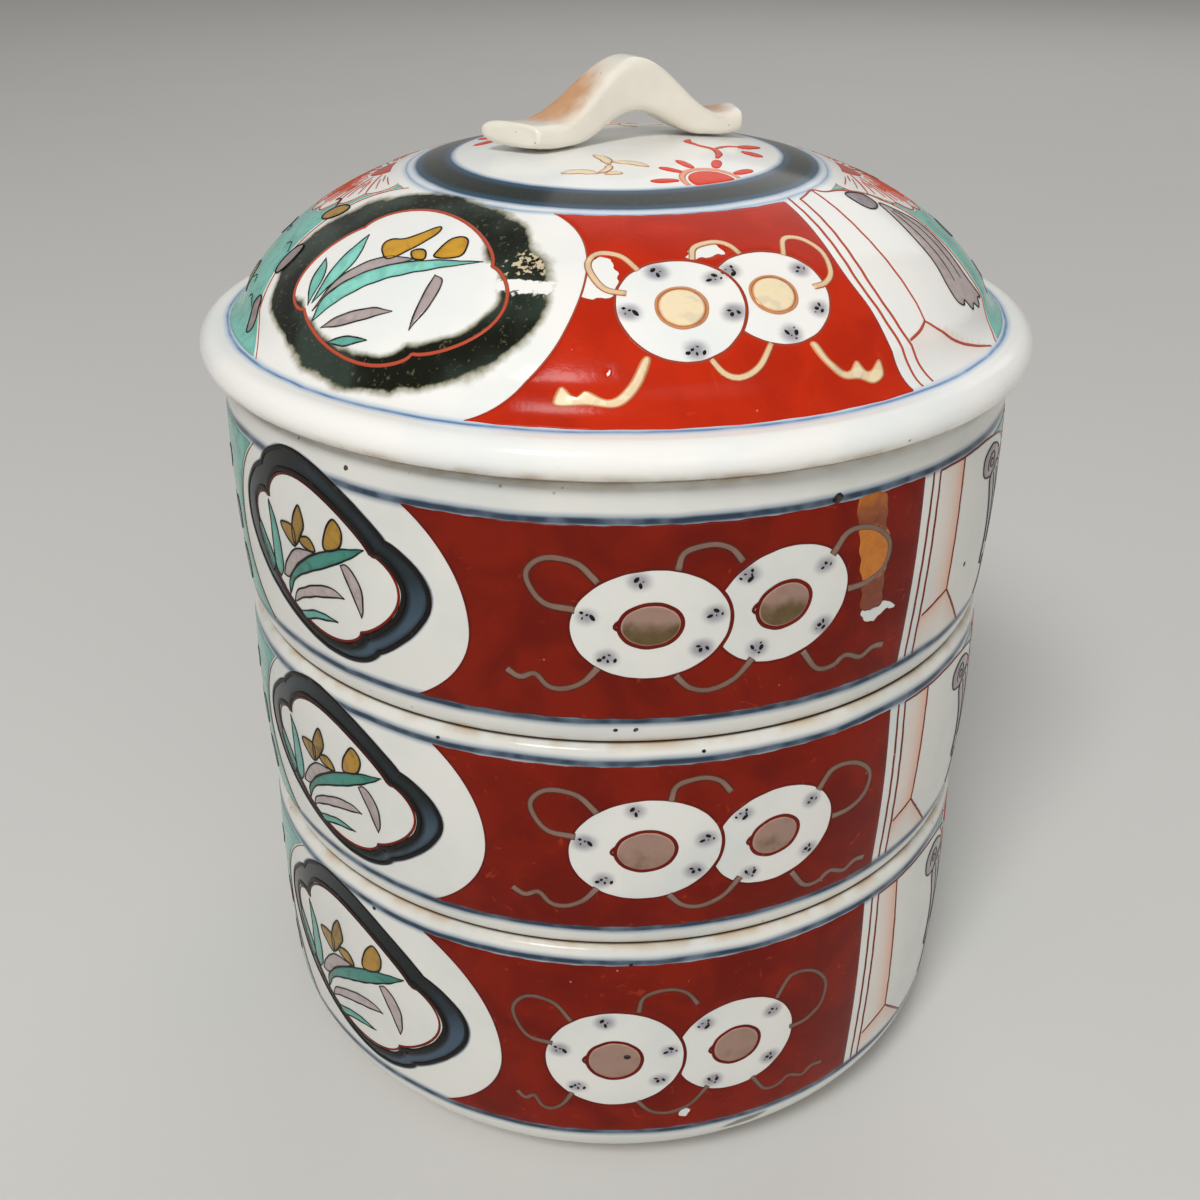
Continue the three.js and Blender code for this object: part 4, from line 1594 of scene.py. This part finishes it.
def painted_porcelain(put, place, *marks):
    """White porcelain painted in cobalt and dark wash under a clear glaze."""
    mark = dict(zip(PORCELAIN_MARKS, marks))
    cloud, slow, sway, grit = (put("TexNoise", {}, (place, per(grain), detail))
                               for grain, detail in ((24, 4.0), (14, 2.0), (6, 2.0), (0.8, 3.0)))
    on_lid = put("MapRange", {}, (mark["band_kind"], 0.2, 0.3))
    on_frame = put("MapRange", {}, (mark["band_kind"], 0.7, 0.8))

    # The glaze pools a little bluer in places, so the white is never one flat tone; the tiers'
    # white is set darker than the lid's, as painted shade
    pooled = put("MapRange", EASED, (cloud, 0.42, 0.68))
    grey = put("Mix", COLOURS, (pooled, paint("porcelain"), rgba("#ced0cb")))
    white = put("Mix", COLOURS, (pooled, paint("lid_porcelain"), rgba("#e9ebe8")))
    tone = put("Mix", COLOURS, (on_lid, grey, white))

    # Years of dirt: a tan film beside the seams and brown pin specks; the dark line in the seams is
    # painted shade where the crevice lies in shadow, with some dirt in it
    patchy = put("MapRange", EASED, (sway, 0.35, 0.70, 0.08, 0.85))
    film = put("MapRange", EASED, (mark["rim"], 0.6, 3.2, 1.0, 0.0))
    stain = put("Math", TIMES, (film, patchy))
    tone = put("Mix", COLOURS, (stain, tone, paint("biscuit")))
    # Painted shade with some dirt: a dark line where the seams lie in shadow
    seam_shade_and_dirt = put("MapRange", EASED, (mark["rim"], 0.8, 1.35, 0.92, 0.0))
    tone = put("Mix", COLOURS, (seam_shade_and_dirt, tone, rgba("#3a2c20")))
    cells = put("TexVoronoi", {}, (place, per(4.5)))
    dot = put("MapRange", EASED, (cells, 0.04, 0.08, 1.0, 0.0))
    by_rim = put("MapRange", EASED, (mark["rim"], 1.2, 4.5, 0.9, 0.0))
    speck = put("Math", TIMES, (dot, by_rim))
    tone = put("Mix", COLOURS, (speck, tone, rgba("#3e281a")))

    # Peach wash fades from the panel's fold
    tone = put("Mix", COLOURS, (mark["peach"], tone, rgba("#dc9a76")))

    # Cobalt lines: dark in the middle and bled into the glaze, softer and bluer on the lid
    drift = put("Math", TIMES_PLUS, (slow, 0.9, -0.45))
    lines = []
    for name, weaker in (("low_line", 0.3), ("high_line", 0.5)):
        moved = put("Math", {"operation": "ADD"}, (mark[name], drift))
        off = put("Math", {"operation": "ABSOLUTE"}, (moved,))
        lines.append(put("Math", TIMES_PLUS, (on_lid, weaker, off)))
    nearest = put("Math", {"operation": "MINIMUM"}, lines)
    bled = put("MapRange", EASED, (nearest, 0.35, 1.7, 0.85, 0.0))
    bleed = put("Mix", COLOURS, (on_lid, rgba("#6f8296"), rgba("#a6bed6")))
    tone = put("Mix", COLOURS, (bled, tone, bleed))
    core = put("MapRange", EASED, (nearest, 0.25, 0.8, 1.0, 0.0))
    load = put("MapRange", EASED, (sway, 0.3, 0.6, 0.55, 1.0))
    core = put("Math", TIMES, (core, load))
    blue = put("Mix", COLOURS, (on_lid, paint("cobalt"), rgba("#547aa8")))
    tone = put("Mix", COLOURS, (core, tone, blue))

    # Soft grey blots sank into the glaze round the roundels
    soft = put("Math", TIMES_PLUS, (sway, 1.6, mark["blot_depth"]))
    blot = put("MapRange", EASED, (soft, 0.1, 2.3, 0.0, 0.8))
    tone = put("Mix", COLOURS, (blot, tone, rgba("#827d88")))

    # The dark frame: crisp on the tiers, feathered with an olive fringe where it ran on the lid
    ran = put("Math", TIMES, (on_lid, mark["wash"]))
    loose = put("MapRange", {}, (ran, 0.0, 1.0, 0.12, 1.5))
    small = put("Math", TIMES_PLUS, (grit, 0.5, -1.5))
    centred = put("Math", TIMES_PLUS, (sway, 2.5, small))
    ragged = put("Math", TIMES_PLUS, (centred, loose, mark["band_depth"]))
    spread = put("MapRange", {}, (ran, 0.0, 1.0, 0.35, 1.7))
    on_ring = put("Math", MINUS, (on_lid, on_frame))
    spread = put("Math", TIMES_PLUS, (on_ring, 0.75, spread))
    out = put("Math", {"operation": "DIVIDE"}, (ragged, spread))
    halo = put("MapRange", EASED, (out, -1.0, 0.15, 0.0, 0.85))
    fringe = put("Mix", COLOURS, (on_lid, rgba("#7d8b99"), rgba("#7f9cba")))
    fringe = put("Mix", COLOURS, (on_frame, fringe, rgba("#6a6538")))
    frayed = put("Math", TIMES_PLUS, (grit, 1.2, mark["worn"]))
    kept = put("MapRange", EASED, (frayed, 0.0, 0.25))
    halo = put("Math", TIMES, (halo, kept))
    tone = put("Mix", COLOURS, (halo, tone, fringe))

    # Its wash dries black-green at the rims and slate blue where it pooled at the lower right
    middle = put("MapRange", EASED, (mark["band_depth"], 0.7, 1.8))
    pool = put("Math", TIMES_PLUS, (cloud, 1.4, mark["wash"]))
    pool = put("MapRange", EASED, (pool, 0.3, 1.7))
    pool = put("Math", TIMES, (middle, pool))
    slate = put("Mix", COLOURS, (pool, rgba("#0b110f"), paint("slate")))

    # On the lid it is olive black with grey-green clouds and bright flecks; the ring has blue rims
    clouded = put("MapRange", EASED, (slow, 0.45, 0.66, 0.0, 0.8))
    olive = put("Mix", COLOURS, (clouded, rgba("#14170d"), rgba("#38443b")))
    flecked = put("MapRange", EASED, (grit, 0.60, 0.70, 0.0, 0.4))
    olive = put("Mix", COLOURS, (flecked, olive, rgba("#77735a")))
    heart = put("MapRange", EASED, (ragged, 0.7, 2.0))
    speckled = put("Mix", COLOURS, (grit, rgba("#10191a"), rgba("#333a32")))
    ring = put("Mix", COLOURS, (heart, rgba("#2f4a60"), speckled))
    dark = put("Mix", COLOURS, (on_lid, slate, ring))
    dark = put("Mix", COLOURS, (on_frame, dark, olive))

    # A strip of the lid's frame has gone to the white, and a patch above it has flaked to cream
    solid = put("MapRange", EASED, (ragged, -0.2, 0.4))
    held = put("Math", TIMES, (solid, kept))
    tone = put("Mix", COLOURS, (held, tone, dark))
    flake = put("Math", TIMES_PLUS, (grit, 3.2, mark["worn"]))
    flake = put("MapRange", EASED, (flake, 2.42, 2.7, 0.0, 0.9))
    flake = put("Math", TIMES, (flake, solid))
    flake = put("Math", TIMES, (flake, on_lid))

    # A soft grey-brown burn lies under one tier's red field
    smear = put("Math", TIMES_PLUS, (sway, 0.8, mark["worn"]))
    smear = put("MapRange", EASED, (smear, 0.85, 1.4, 0.0, 0.8))
    off_lid = put("Math", MINUS, (1.0, on_lid))
    smear = put("Math", TIMES, (smear, off_lid))
    flake = put("Math", {"operation": "MAXIMUM"}, (flake, smear))
    under = put("Mix", COLOURS, (on_lid, rgba("#5c5248"), rgba("#d8c8a4")))
    tone = put("Mix", COLOURS, (flake, tone, under))

    # Seats and rings were wiped before firing: matt, cream, dirty clay
    dirt = put("Mix", COLOURS, (grit, rgba("#d3bd97"), rgba("#9c7d58")))
    tone = put("Mix", COLOURS, (mark["bare"], tone, dirt))
    gloss = put("MapRange", {}, (mark["bare"], 0.0, 1.0, 0.14, 0.65))
    gloss = put("Math", TIMES_PLUS, (stain, 0.3, gloss))
    peel = put("Bump", {}, {"Strength": 0.10, "Distance": 0.0003, "Height": sway})
    return put("BsdfPrincipled", {}, {
        "Base Color": tone, "Roughness": gloss, "IOR": 1.5, "Specular IOR Level": 0.2,
        "Normal": peel})


def handle_porcelain(put, place, tan):
    """Off-white hand-shaped porcelain with a tan wash on its slopes."""
    cloud = put("TexNoise", {}, (place, per(9), 4.0))
    brush = put("TexNoise", {}, (place, per(3), 3.0))

    # Warm white where the glaze is thin over the pressed clay
    body = put("Mix", COLOURS, (cloud, rgba("#f3eee2"), rgba("#e3dccc")))

    # The tan was brushed on top, thins out softly and turns browner where it is thick
    rough = put("Math", TIMES_PLUS, (brush, 0.5, -0.25))
    edge = put("Math", {"operation": "ADD"}, (tan, rough))
    cover = put("MapRange", EASED, (edge, 0.0, 0.95, 0.0, 0.9))
    wash = put("Mix", COLOURS, (brush, paint("tan"), rgba("#b87c4c")))
    tone = put("Mix", COLOURS, (cover, body, wash))
    cells = put("TexVoronoi", {}, (place, per(4.5)))
    dot = put("MapRange", EASED, (cells, 0.03, 0.06, 0.6, 0.0))
    tone = put("Mix", COLOURS, (dot, tone, rgba("#6b4a30")))
    gloss = put("MapRange", {}, (cloud, 0.0, 1.0, 0.14, 0.3))
    uneven = put("Bump", {}, {"Strength": 0.2, "Distance": 0.0005, "Height": cloud})
    return put("BsdfPrincipled", {}, {
        "Base Color": tone, "Roughness": gloss, "IOR": 1.5, "Normal": uneven})


def red_enamel(put, place, tone, thin):
    """Iron red over the glaze: brighter on the lid as painted light, deeper on the tiers as painted
    shade, watery in thin lines.
    """
    soft = put("TexNoise", {}, {
        "Vector": place, "Scale": per(11), "Detail": 4.0, "Distortion": 0.6})
    fine = put("TexNoise", {}, (place, per(0.9), 2.0))

    # Thick strokes fire darker and browner than thin ones, so the ground is softly clouded
    heavy = put("MapRange", EASED, (soft, 0.34, 0.66))
    # The lid's bright red and the tiers' deep red are one enamel, set apart as painted light and
    # painted shade
    bright = put("Mix", COLOURS, (heavy, paint("lid_red"), rgba("#b3270e")))
    deep = put("Mix", COLOURS, (heavy, paint("red"), rgba("#661509")))
    to_shaded_tier = put("MapRange", {}, (tone, 0.0, 0.4))
    to_line = put("MapRange", {}, (tone, 0.5, 1.0))
    shade = put("Mix", COLOURS, (to_shaded_tier, bright, deep))
    shade = put("Mix", COLOURS, (to_line, shade, rgba("#4a120e")))
    # The crown's red is painted brighter still, as painted light
    lit_crown = put("MapRange", {}, (tone, LIT_CROWN_TONE, 0.0, 1.0, 0.0))
    shade = put("Mix", COLOURS, (lit_crown, shade, rgba("#e03a18")))

    # Short pale streaks along the thick enamel's brush ridges: a painted sheen where the ridges
    # catch the light
    ridge_sheen = put("TexNoise", {}, {
        "Vector": place, "Scale": per(4.5), "Detail": 6.0, "Distortion": 2.2})
    ridge_sheen = put("MapRange", EASED, (ridge_sheen, 0.64, 0.76, 0.0, 0.3))
    shade = put("Mix", COLOURS, (ridge_sheen, shade, rgba("#c4502c")))

    # A watery brush leaves terracotta, and peach where there is least of it
    watery = put("MapRange", {}, (thin, 0.0, 0.75))
    faint = put("MapRange", {}, (thin, 0.75, 1.0))
    shade = put("Mix", COLOURS, (watery, shade, rgba("#b9503a")))
    shade = put("Mix", COLOURS, (faint, shade, rgba("#f0a080")))

    # Rubbed pinholes let the white through
    cells = put("TexVoronoi", {}, (place, per(7)))
    hole = put("MapRange", EASED, (cells, 0.015, 0.035, 0.5, 0.0))
    shade = put("Mix", COLOURS, (hole, shade, rgba("#d9b8a4")))
    gloss = put("MapRange", {}, (soft, 0.0, 1.0, 0.12, 0.3))
    brushed = put("Bump", {}, {"Strength": 0.12, "Distance": 0.0002, "Height": fine})
    return put("BsdfPrincipled", {}, {
        "Base Color": shade, "Roughness": gloss, "IOR": 1.5, "Specular IOR Level": 0.1,
        "Normal": brushed})


def worn_gilding(put, place, tone, thin, edge):
    """Gilding rubbed down to a film on the tiers; pale cream on the lid, partly as a painted
    highlight.
    """
    rubbed = put("TexNoise", {}, (place, per(2.6), 4.0))
    fine = put("TexNoise", {}, (place, per(0.7), 2.0))
    by_edge = put("MapRange", EASED, (edge, 0.08, 0.42, 0.9, 0.0))

    # On the tiers a taupe film is left, brown along its edges; discs turn olive at the foot
    film = put("Mix", COLOURS, (rubbed, rgba("#745748"), paint("film")))
    in_disc = put("MapRange", {}, (thin, 0.02, 0.1))
    foot = put("Math", TIMES_PLUS, (rubbed, 0.8, thin))
    foot = put("MapRange", EASED, (foot, 0.75, 1.45))
    disc = put("Mix", COLOURS, (foot, rgba("#95786a"), rgba("#5a4826")))
    film = put("Mix", COLOURS, (in_disc, film, disc))
    border = put("Mix", COLOURS, (in_disc, rgba("#4c2e22"), rgba("#b58c7c")))
    film = put("Mix", COLOURS, (by_edge, film, border))

    # The lid keeps a cream gold, lightened in part as a painted highlight, that is orange along its
    # edges
    cream = put("Mix", COLOURS, (rubbed, rgba("#ecd3a2"), paint("gold")))
    cream = put("Mix", COLOURS, (by_edge, cream, rgba("#c97b42")))
    shade = put("Mix", COLOURS, (tone, film, cream))
    left = put("MapRange", EASED, (rubbed, 0.50, 0.66, 0.0, 0.25))
    gloss = put("MapRange", {}, (fine, 0.0, 1.0, 0.22, 0.42))
    leafed = put("Bump", {}, {"Strength": 0.2, "Distance": 0.0002, "Height": fine})
    return put("BsdfPrincipled", {}, {
        "Base Color": shade, "Metallic": left, "Roughness": gloss, "Specular IOR Level": 0.3,
        "Normal": leafed})


def glassy_enamel(kind, thinnest, thickest, pool, put, place, tone, edge):
    """A translucent enamel that is pale where thin and deep where it pooled."""
    pooled = put("TexNoise", {}, {
        "Vector": place, "Scale": per(pool), "Detail": 5.0, "Distortion": 1.0})
    fine = put("TexNoise", {}, (place, per(1.0), 2.0))
    shade = put("Mix", COLOURS, (tone, paint(kind), rgba(thinnest)))
    between = [(a + b) / 2 for a, b in zip(paint(kind), rgba(thinnest))]
    depth = put("Mix", COLOURS, (tone, rgba(thickest), between))
    deep = put("MapRange", EASED, (pooled, 0.42, 0.72, 0.0, 0.75))
    shade = put("Mix", COLOURS, (deep, shade, depth))
    along_edge = put("MapRange", EASED, (edge, 0.1, 0.7, 0.45, 0.0))
    shade = put("Mix", COLOURS, (along_edge, shade, depth))
    gloss = put("MapRange", {}, (pooled, 0.0, 1.0, 0.06, 0.24))
    ripple = put("Bump", {}, {"Strength": 0.2, "Distance": 0.0003, "Height": fine})
    return put("BsdfPrincipled", {}, {
        "Base Color": shade, "Roughness": gloss, "IOR": 1.52, "Specular IOR Level": 0.3,
        "Normal": ripple})


def dried_varnish(put, place, tone):
    """Amber varnish that dried in a run: glassy, wrinkled and darker where it lies on red."""
    cloud = put("TexNoise", {}, {
        "Vector": place, "Scale": per(3), "Detail": 5.0, "Distortion": 1.5})

    # Thick varnish glows orange; a thin film over the red only turns it rust brown
    glow = put("Mix", COLOURS, (cloud, paint("amber"), rgba("#9c5008")))
    rust = put("Mix", COLOURS, (cloud, rgba("#8e420e"), rgba("#541407")))
    film = put("MapRange", EASED, (tone,))
    shade = put("Mix", COLOURS, (film, glow, rust))
    gloss = put("MapRange", {}, (cloud, 0.0, 1.0, 0.08, 0.3))
    wrinkled = put("Bump", {}, {"Strength": 0.5, "Distance": 0.0006, "Height": cloud})
    return put("BsdfPrincipled", {}, {"Base Color": shade, "Roughness": gloss, "Normal": wrinkled})


def black_line(put, place, tone):
    """Thin iron-black outline, drawn with a fine brush and broken where the brush ran dry."""
    thin = put("TexNoise", {}, (place, per(1.6), 3.0))

    # Where the brush ran dry the line turns brown-grey
    load = put("Math", TIMES_PLUS, (tone, 0.25, thin))
    dry = put("MapRange", EASED, (load, 0.6, 0.9, 0.0, 0.8))
    shade = put("Mix", COLOURS, (dry, paint("black"), rgba("#5c5148")))
    gloss = put("MapRange", {}, (thin, 0.0, 1.0, 0.25, 0.5))
    return put("BsdfPrincipled", {}, {
        "Base Color": shade, "Roughness": gloss, "Specular IOR Level": 0.12})


def floor_paint(put, place):
    """Matt pale studio floor."""
    cloud = put("TexNoise", {}, (place, per(180), 3.0))
    tone = put("Mix", COLOURS, (cloud, paint("floor"), rgba("#d4d2ce")))
    return put("BsdfPrincipled", {}, {"Base Color": tone, "Roughness": 0.85})


# Each material: its name, the recipe of its shader, and the painted marks that the recipe reads
MATERIALS = {
    "porcelain": ("thrown_porcelain_cobalt_under_clear_glaze", painted_porcelain, *PORCELAIN_MARKS),
    "handle": ("hand_shaped_porcelain_with_tan_wash", handle_porcelain, "tan"),
    "red": ("brushed_iron_red_overglaze_enamel", red_enamel, "tone", "thin"),
    "gold": ("rubbed_fired_gilding", worn_gilding, "tone", "thin", "edge"),
    # Copper green: aqua in thin leaves, bottle green where it pooled
    "green": ("fired_copper_green_translucent_enamel",
              partial(glassy_enamel, "green", "#8ed8c8", "#12483f", 4.0), "tone", "edge"),
    # Manganese purple: a grey lilac film with browner pools
    "aubergine": ("fired_manganese_purple_translucent_enamel",
                  partial(glassy_enamel, "aubergine", "#b9aaa6", "#4f4449", 3.0), "tone", "edge"),
    # Iron ochre: honey with brown smudges at the petal bases
    "ochre": ("fired_iron_ochre_translucent_enamel",
              partial(glassy_enamel, "ochre", "#d69f30", "#4a3210", 2.4), "tone", "edge"),
    "black": ("fine_brushed_iron_black_line", black_line, "tone"),
    "residue": ("dried_amber_varnish_run", dried_varnish, "tone"),
    "floor": ("matt_painted_studio_floor", floor_paint),
}


def material_of(kind):
    """One of the materials, made when it is first asked for."""
    name, recipe, *marks = MATERIALS[kind]
    if name in bpy.data.materials:
        return bpy.data.materials[name]
    material = bpy.data.materials.new(name)
    material.use_nodes = True
    material.node_tree.nodes.clear()
    put = partial(add, material.node_tree)
    place = put("TexCoord", {}, out="Object")
    read = [put("Attribute", {"attribute_name": mark}, out="Fac") for mark in marks]
    put("OutputMaterial", {}, {"Surface": recipe(put, place, *read)})
    return material


def build_stage():
    """Floor, soft lights, pale surround and the camera of the photograph."""
    scene = bpy.context.scene
    turn = np.linspace(0.0, 2 * math.pi, 96, endpoint=False)
    mesh = bpy.data.meshes.new("studio_floor")
    reach = 6.0
    drop = 0.0002
    mesh.from_pydata([(reach * math.cos(a), reach * math.sin(a), -drop) for a in turn], [],
                     [list(range(len(turn)))])
    mesh.materials.append(material_of("floor"))
    ground = bpy.data.objects.new("studio_floor", mesh)
    scene.collection.objects.link(ground)

    for name, place, aim, wide, power in (
            ("key_softbox", (-0.4, -1.0, 1.3), (0.0, 0.0, 0.12), 0.4, 15.0),
            ("front_fill", (1.1, -2.6, 0.9), (0.0, 0.0, 0.08), 1.7, 16.0),
            ("back_fill", (0.6, 1.7, 1.7), (0.0, 0.0, 0.1), 1.8, 9.0)):
        light = bpy.data.lights.new(name, "AREA")
        light.shape = "SQUARE"
        light.size = wide
        light.energy = power
        lamp = bpy.data.objects.new(name, light)
        lamp.location = place
        lamp.rotation_euler = (Vector(aim) - Vector(place)).to_track_quat("-Z", "Y").to_euler()
        scene.collection.objects.link(lamp)

    world = bpy.data.worlds.new("pale_studio")
    world.use_nodes = True
    world.node_tree.nodes.clear()
    put = partial(add, world.node_tree)
    sky = put("Background", {}, {"Color": rgba("#f1f0ee"), "Strength": 0.36})
    put("OutputWorld", {}, {"Surface": sky})
    scene.world = world

    lens = bpy.data.cameras.new("photo_camera")
    lens.lens = CAMERA_LENS
    lens.sensor_width = SENSOR_WIDTH
    lens.clip_start = 0.01
    camera = bpy.data.objects.new("photo_camera", lens)
    camera.location = [c * MM for c in CAMERA_PLACE]
    camera.rotation_euler = (math.radians(90.0 - CAMERA_TILT_DOWN), 0.0, 0.0)
    scene.collection.objects.link(camera)
    scene.camera = camera
    scene.view_settings.view_transform = "Standard"


class FOODBOX_OT_tiers(bpy.types.Operator):
    """Turn the three porcelain tiers."""

    bl_idname = "food_box.tiers"
    bl_label = "Tiers"

    def execute(self, context):
        for node in TIER_SHAPES:
            build_tier(node)
        return {"FINISHED"}


class FOODBOX_OT_lid(bpy.types.Operator):
    """Turn the domed lid."""

    bl_idname = "food_box.lid"
    bl_label = "Lid"

    def execute(self, context):
        build_lid()
        return {"FINISHED"}


class FOODBOX_OT_handle(bpy.types.Operator):
    """Shape the strap handle on the lid."""

    bl_idname = "food_box.handle"
    bl_label = "Handle"

    def execute(self, context):
        build_handle()
        return {"FINISHED"}


class FOODBOX_OT_tier_enamels(bpy.types.Operator):
    """Paint the overglaze enamels of the three tiers."""

    bl_idname = "food_box.tier_enamels"
    bl_label = "Tier Enamels"

    def execute(self, context):
        for node in TIER_SHAPES:
            paint_body(node)
        return {"FINISHED"}


class FOODBOX_OT_lid_enamels(bpy.types.Operator):
    """Paint the overglaze enamels of the lid."""

    bl_idname = "food_box.lid_enamels"
    bl_label = "Lid Enamels"

    def execute(self, context):
        paint_body("lid")
        return {"FINISHED"}


class FOODBOX_OT_stage(bpy.types.Operator):
    """Set the floor, lights and camera."""

    bl_idname = "food_box.stage"
    bl_label = "Stage"

    def execute(self, context):
        build_stage()
        return {"FINISHED"}


OPERATORS = (FOODBOX_OT_tiers, FOODBOX_OT_lid, FOODBOX_OT_handle, FOODBOX_OT_tier_enamels,
             FOODBOX_OT_lid_enamels, FOODBOX_OT_stage)


class FOODBOX_PT_panel(bpy.types.Panel):
    """Sizes, colours and building steps of the food box."""

    bl_idname = "FOODBOX_PT_panel"
    bl_label = "Food Box"
    bl_space_type = "VIEW_3D"
    bl_region_type = "UI"
    bl_category = "Food Box"

    def draw(self, context):
        for group in (context.scene.food_box_sizes, context.scene.food_box_colours):
            column = self.layout.column(align=True)
            for name in group.__annotations__:
                column.prop(group, name)
        for operator in OPERATORS:
            self.layout.operator(operator.bl_idname)


CLASSES = (FoodBoxSizes, FoodBoxColours, *OPERATORS, FOODBOX_PT_panel)


def register():
    for item in CLASSES:
        bpy.utils.register_class(item)
    bpy.types.Scene.food_box_sizes = bpy.props.PointerProperty(type=FoodBoxSizes)
    bpy.types.Scene.food_box_colours = bpy.props.PointerProperty(type=FoodBoxColours)


def unregister():
    del bpy.types.Scene.food_box_colours
    del bpy.types.Scene.food_box_sizes
    for item in reversed(CLASSES):
        bpy.utils.unregister_class(item)


def main():
    """Build every piece in order."""
    register()
    bpy.ops.food_box.tiers()
    bpy.ops.food_box.lid()
    bpy.ops.food_box.handle()
    bpy.ops.food_box.tier_enamels()
    bpy.ops.food_box.lid_enamels()
    bpy.ops.food_box.stage()


if __name__ == "__main__":
    main()
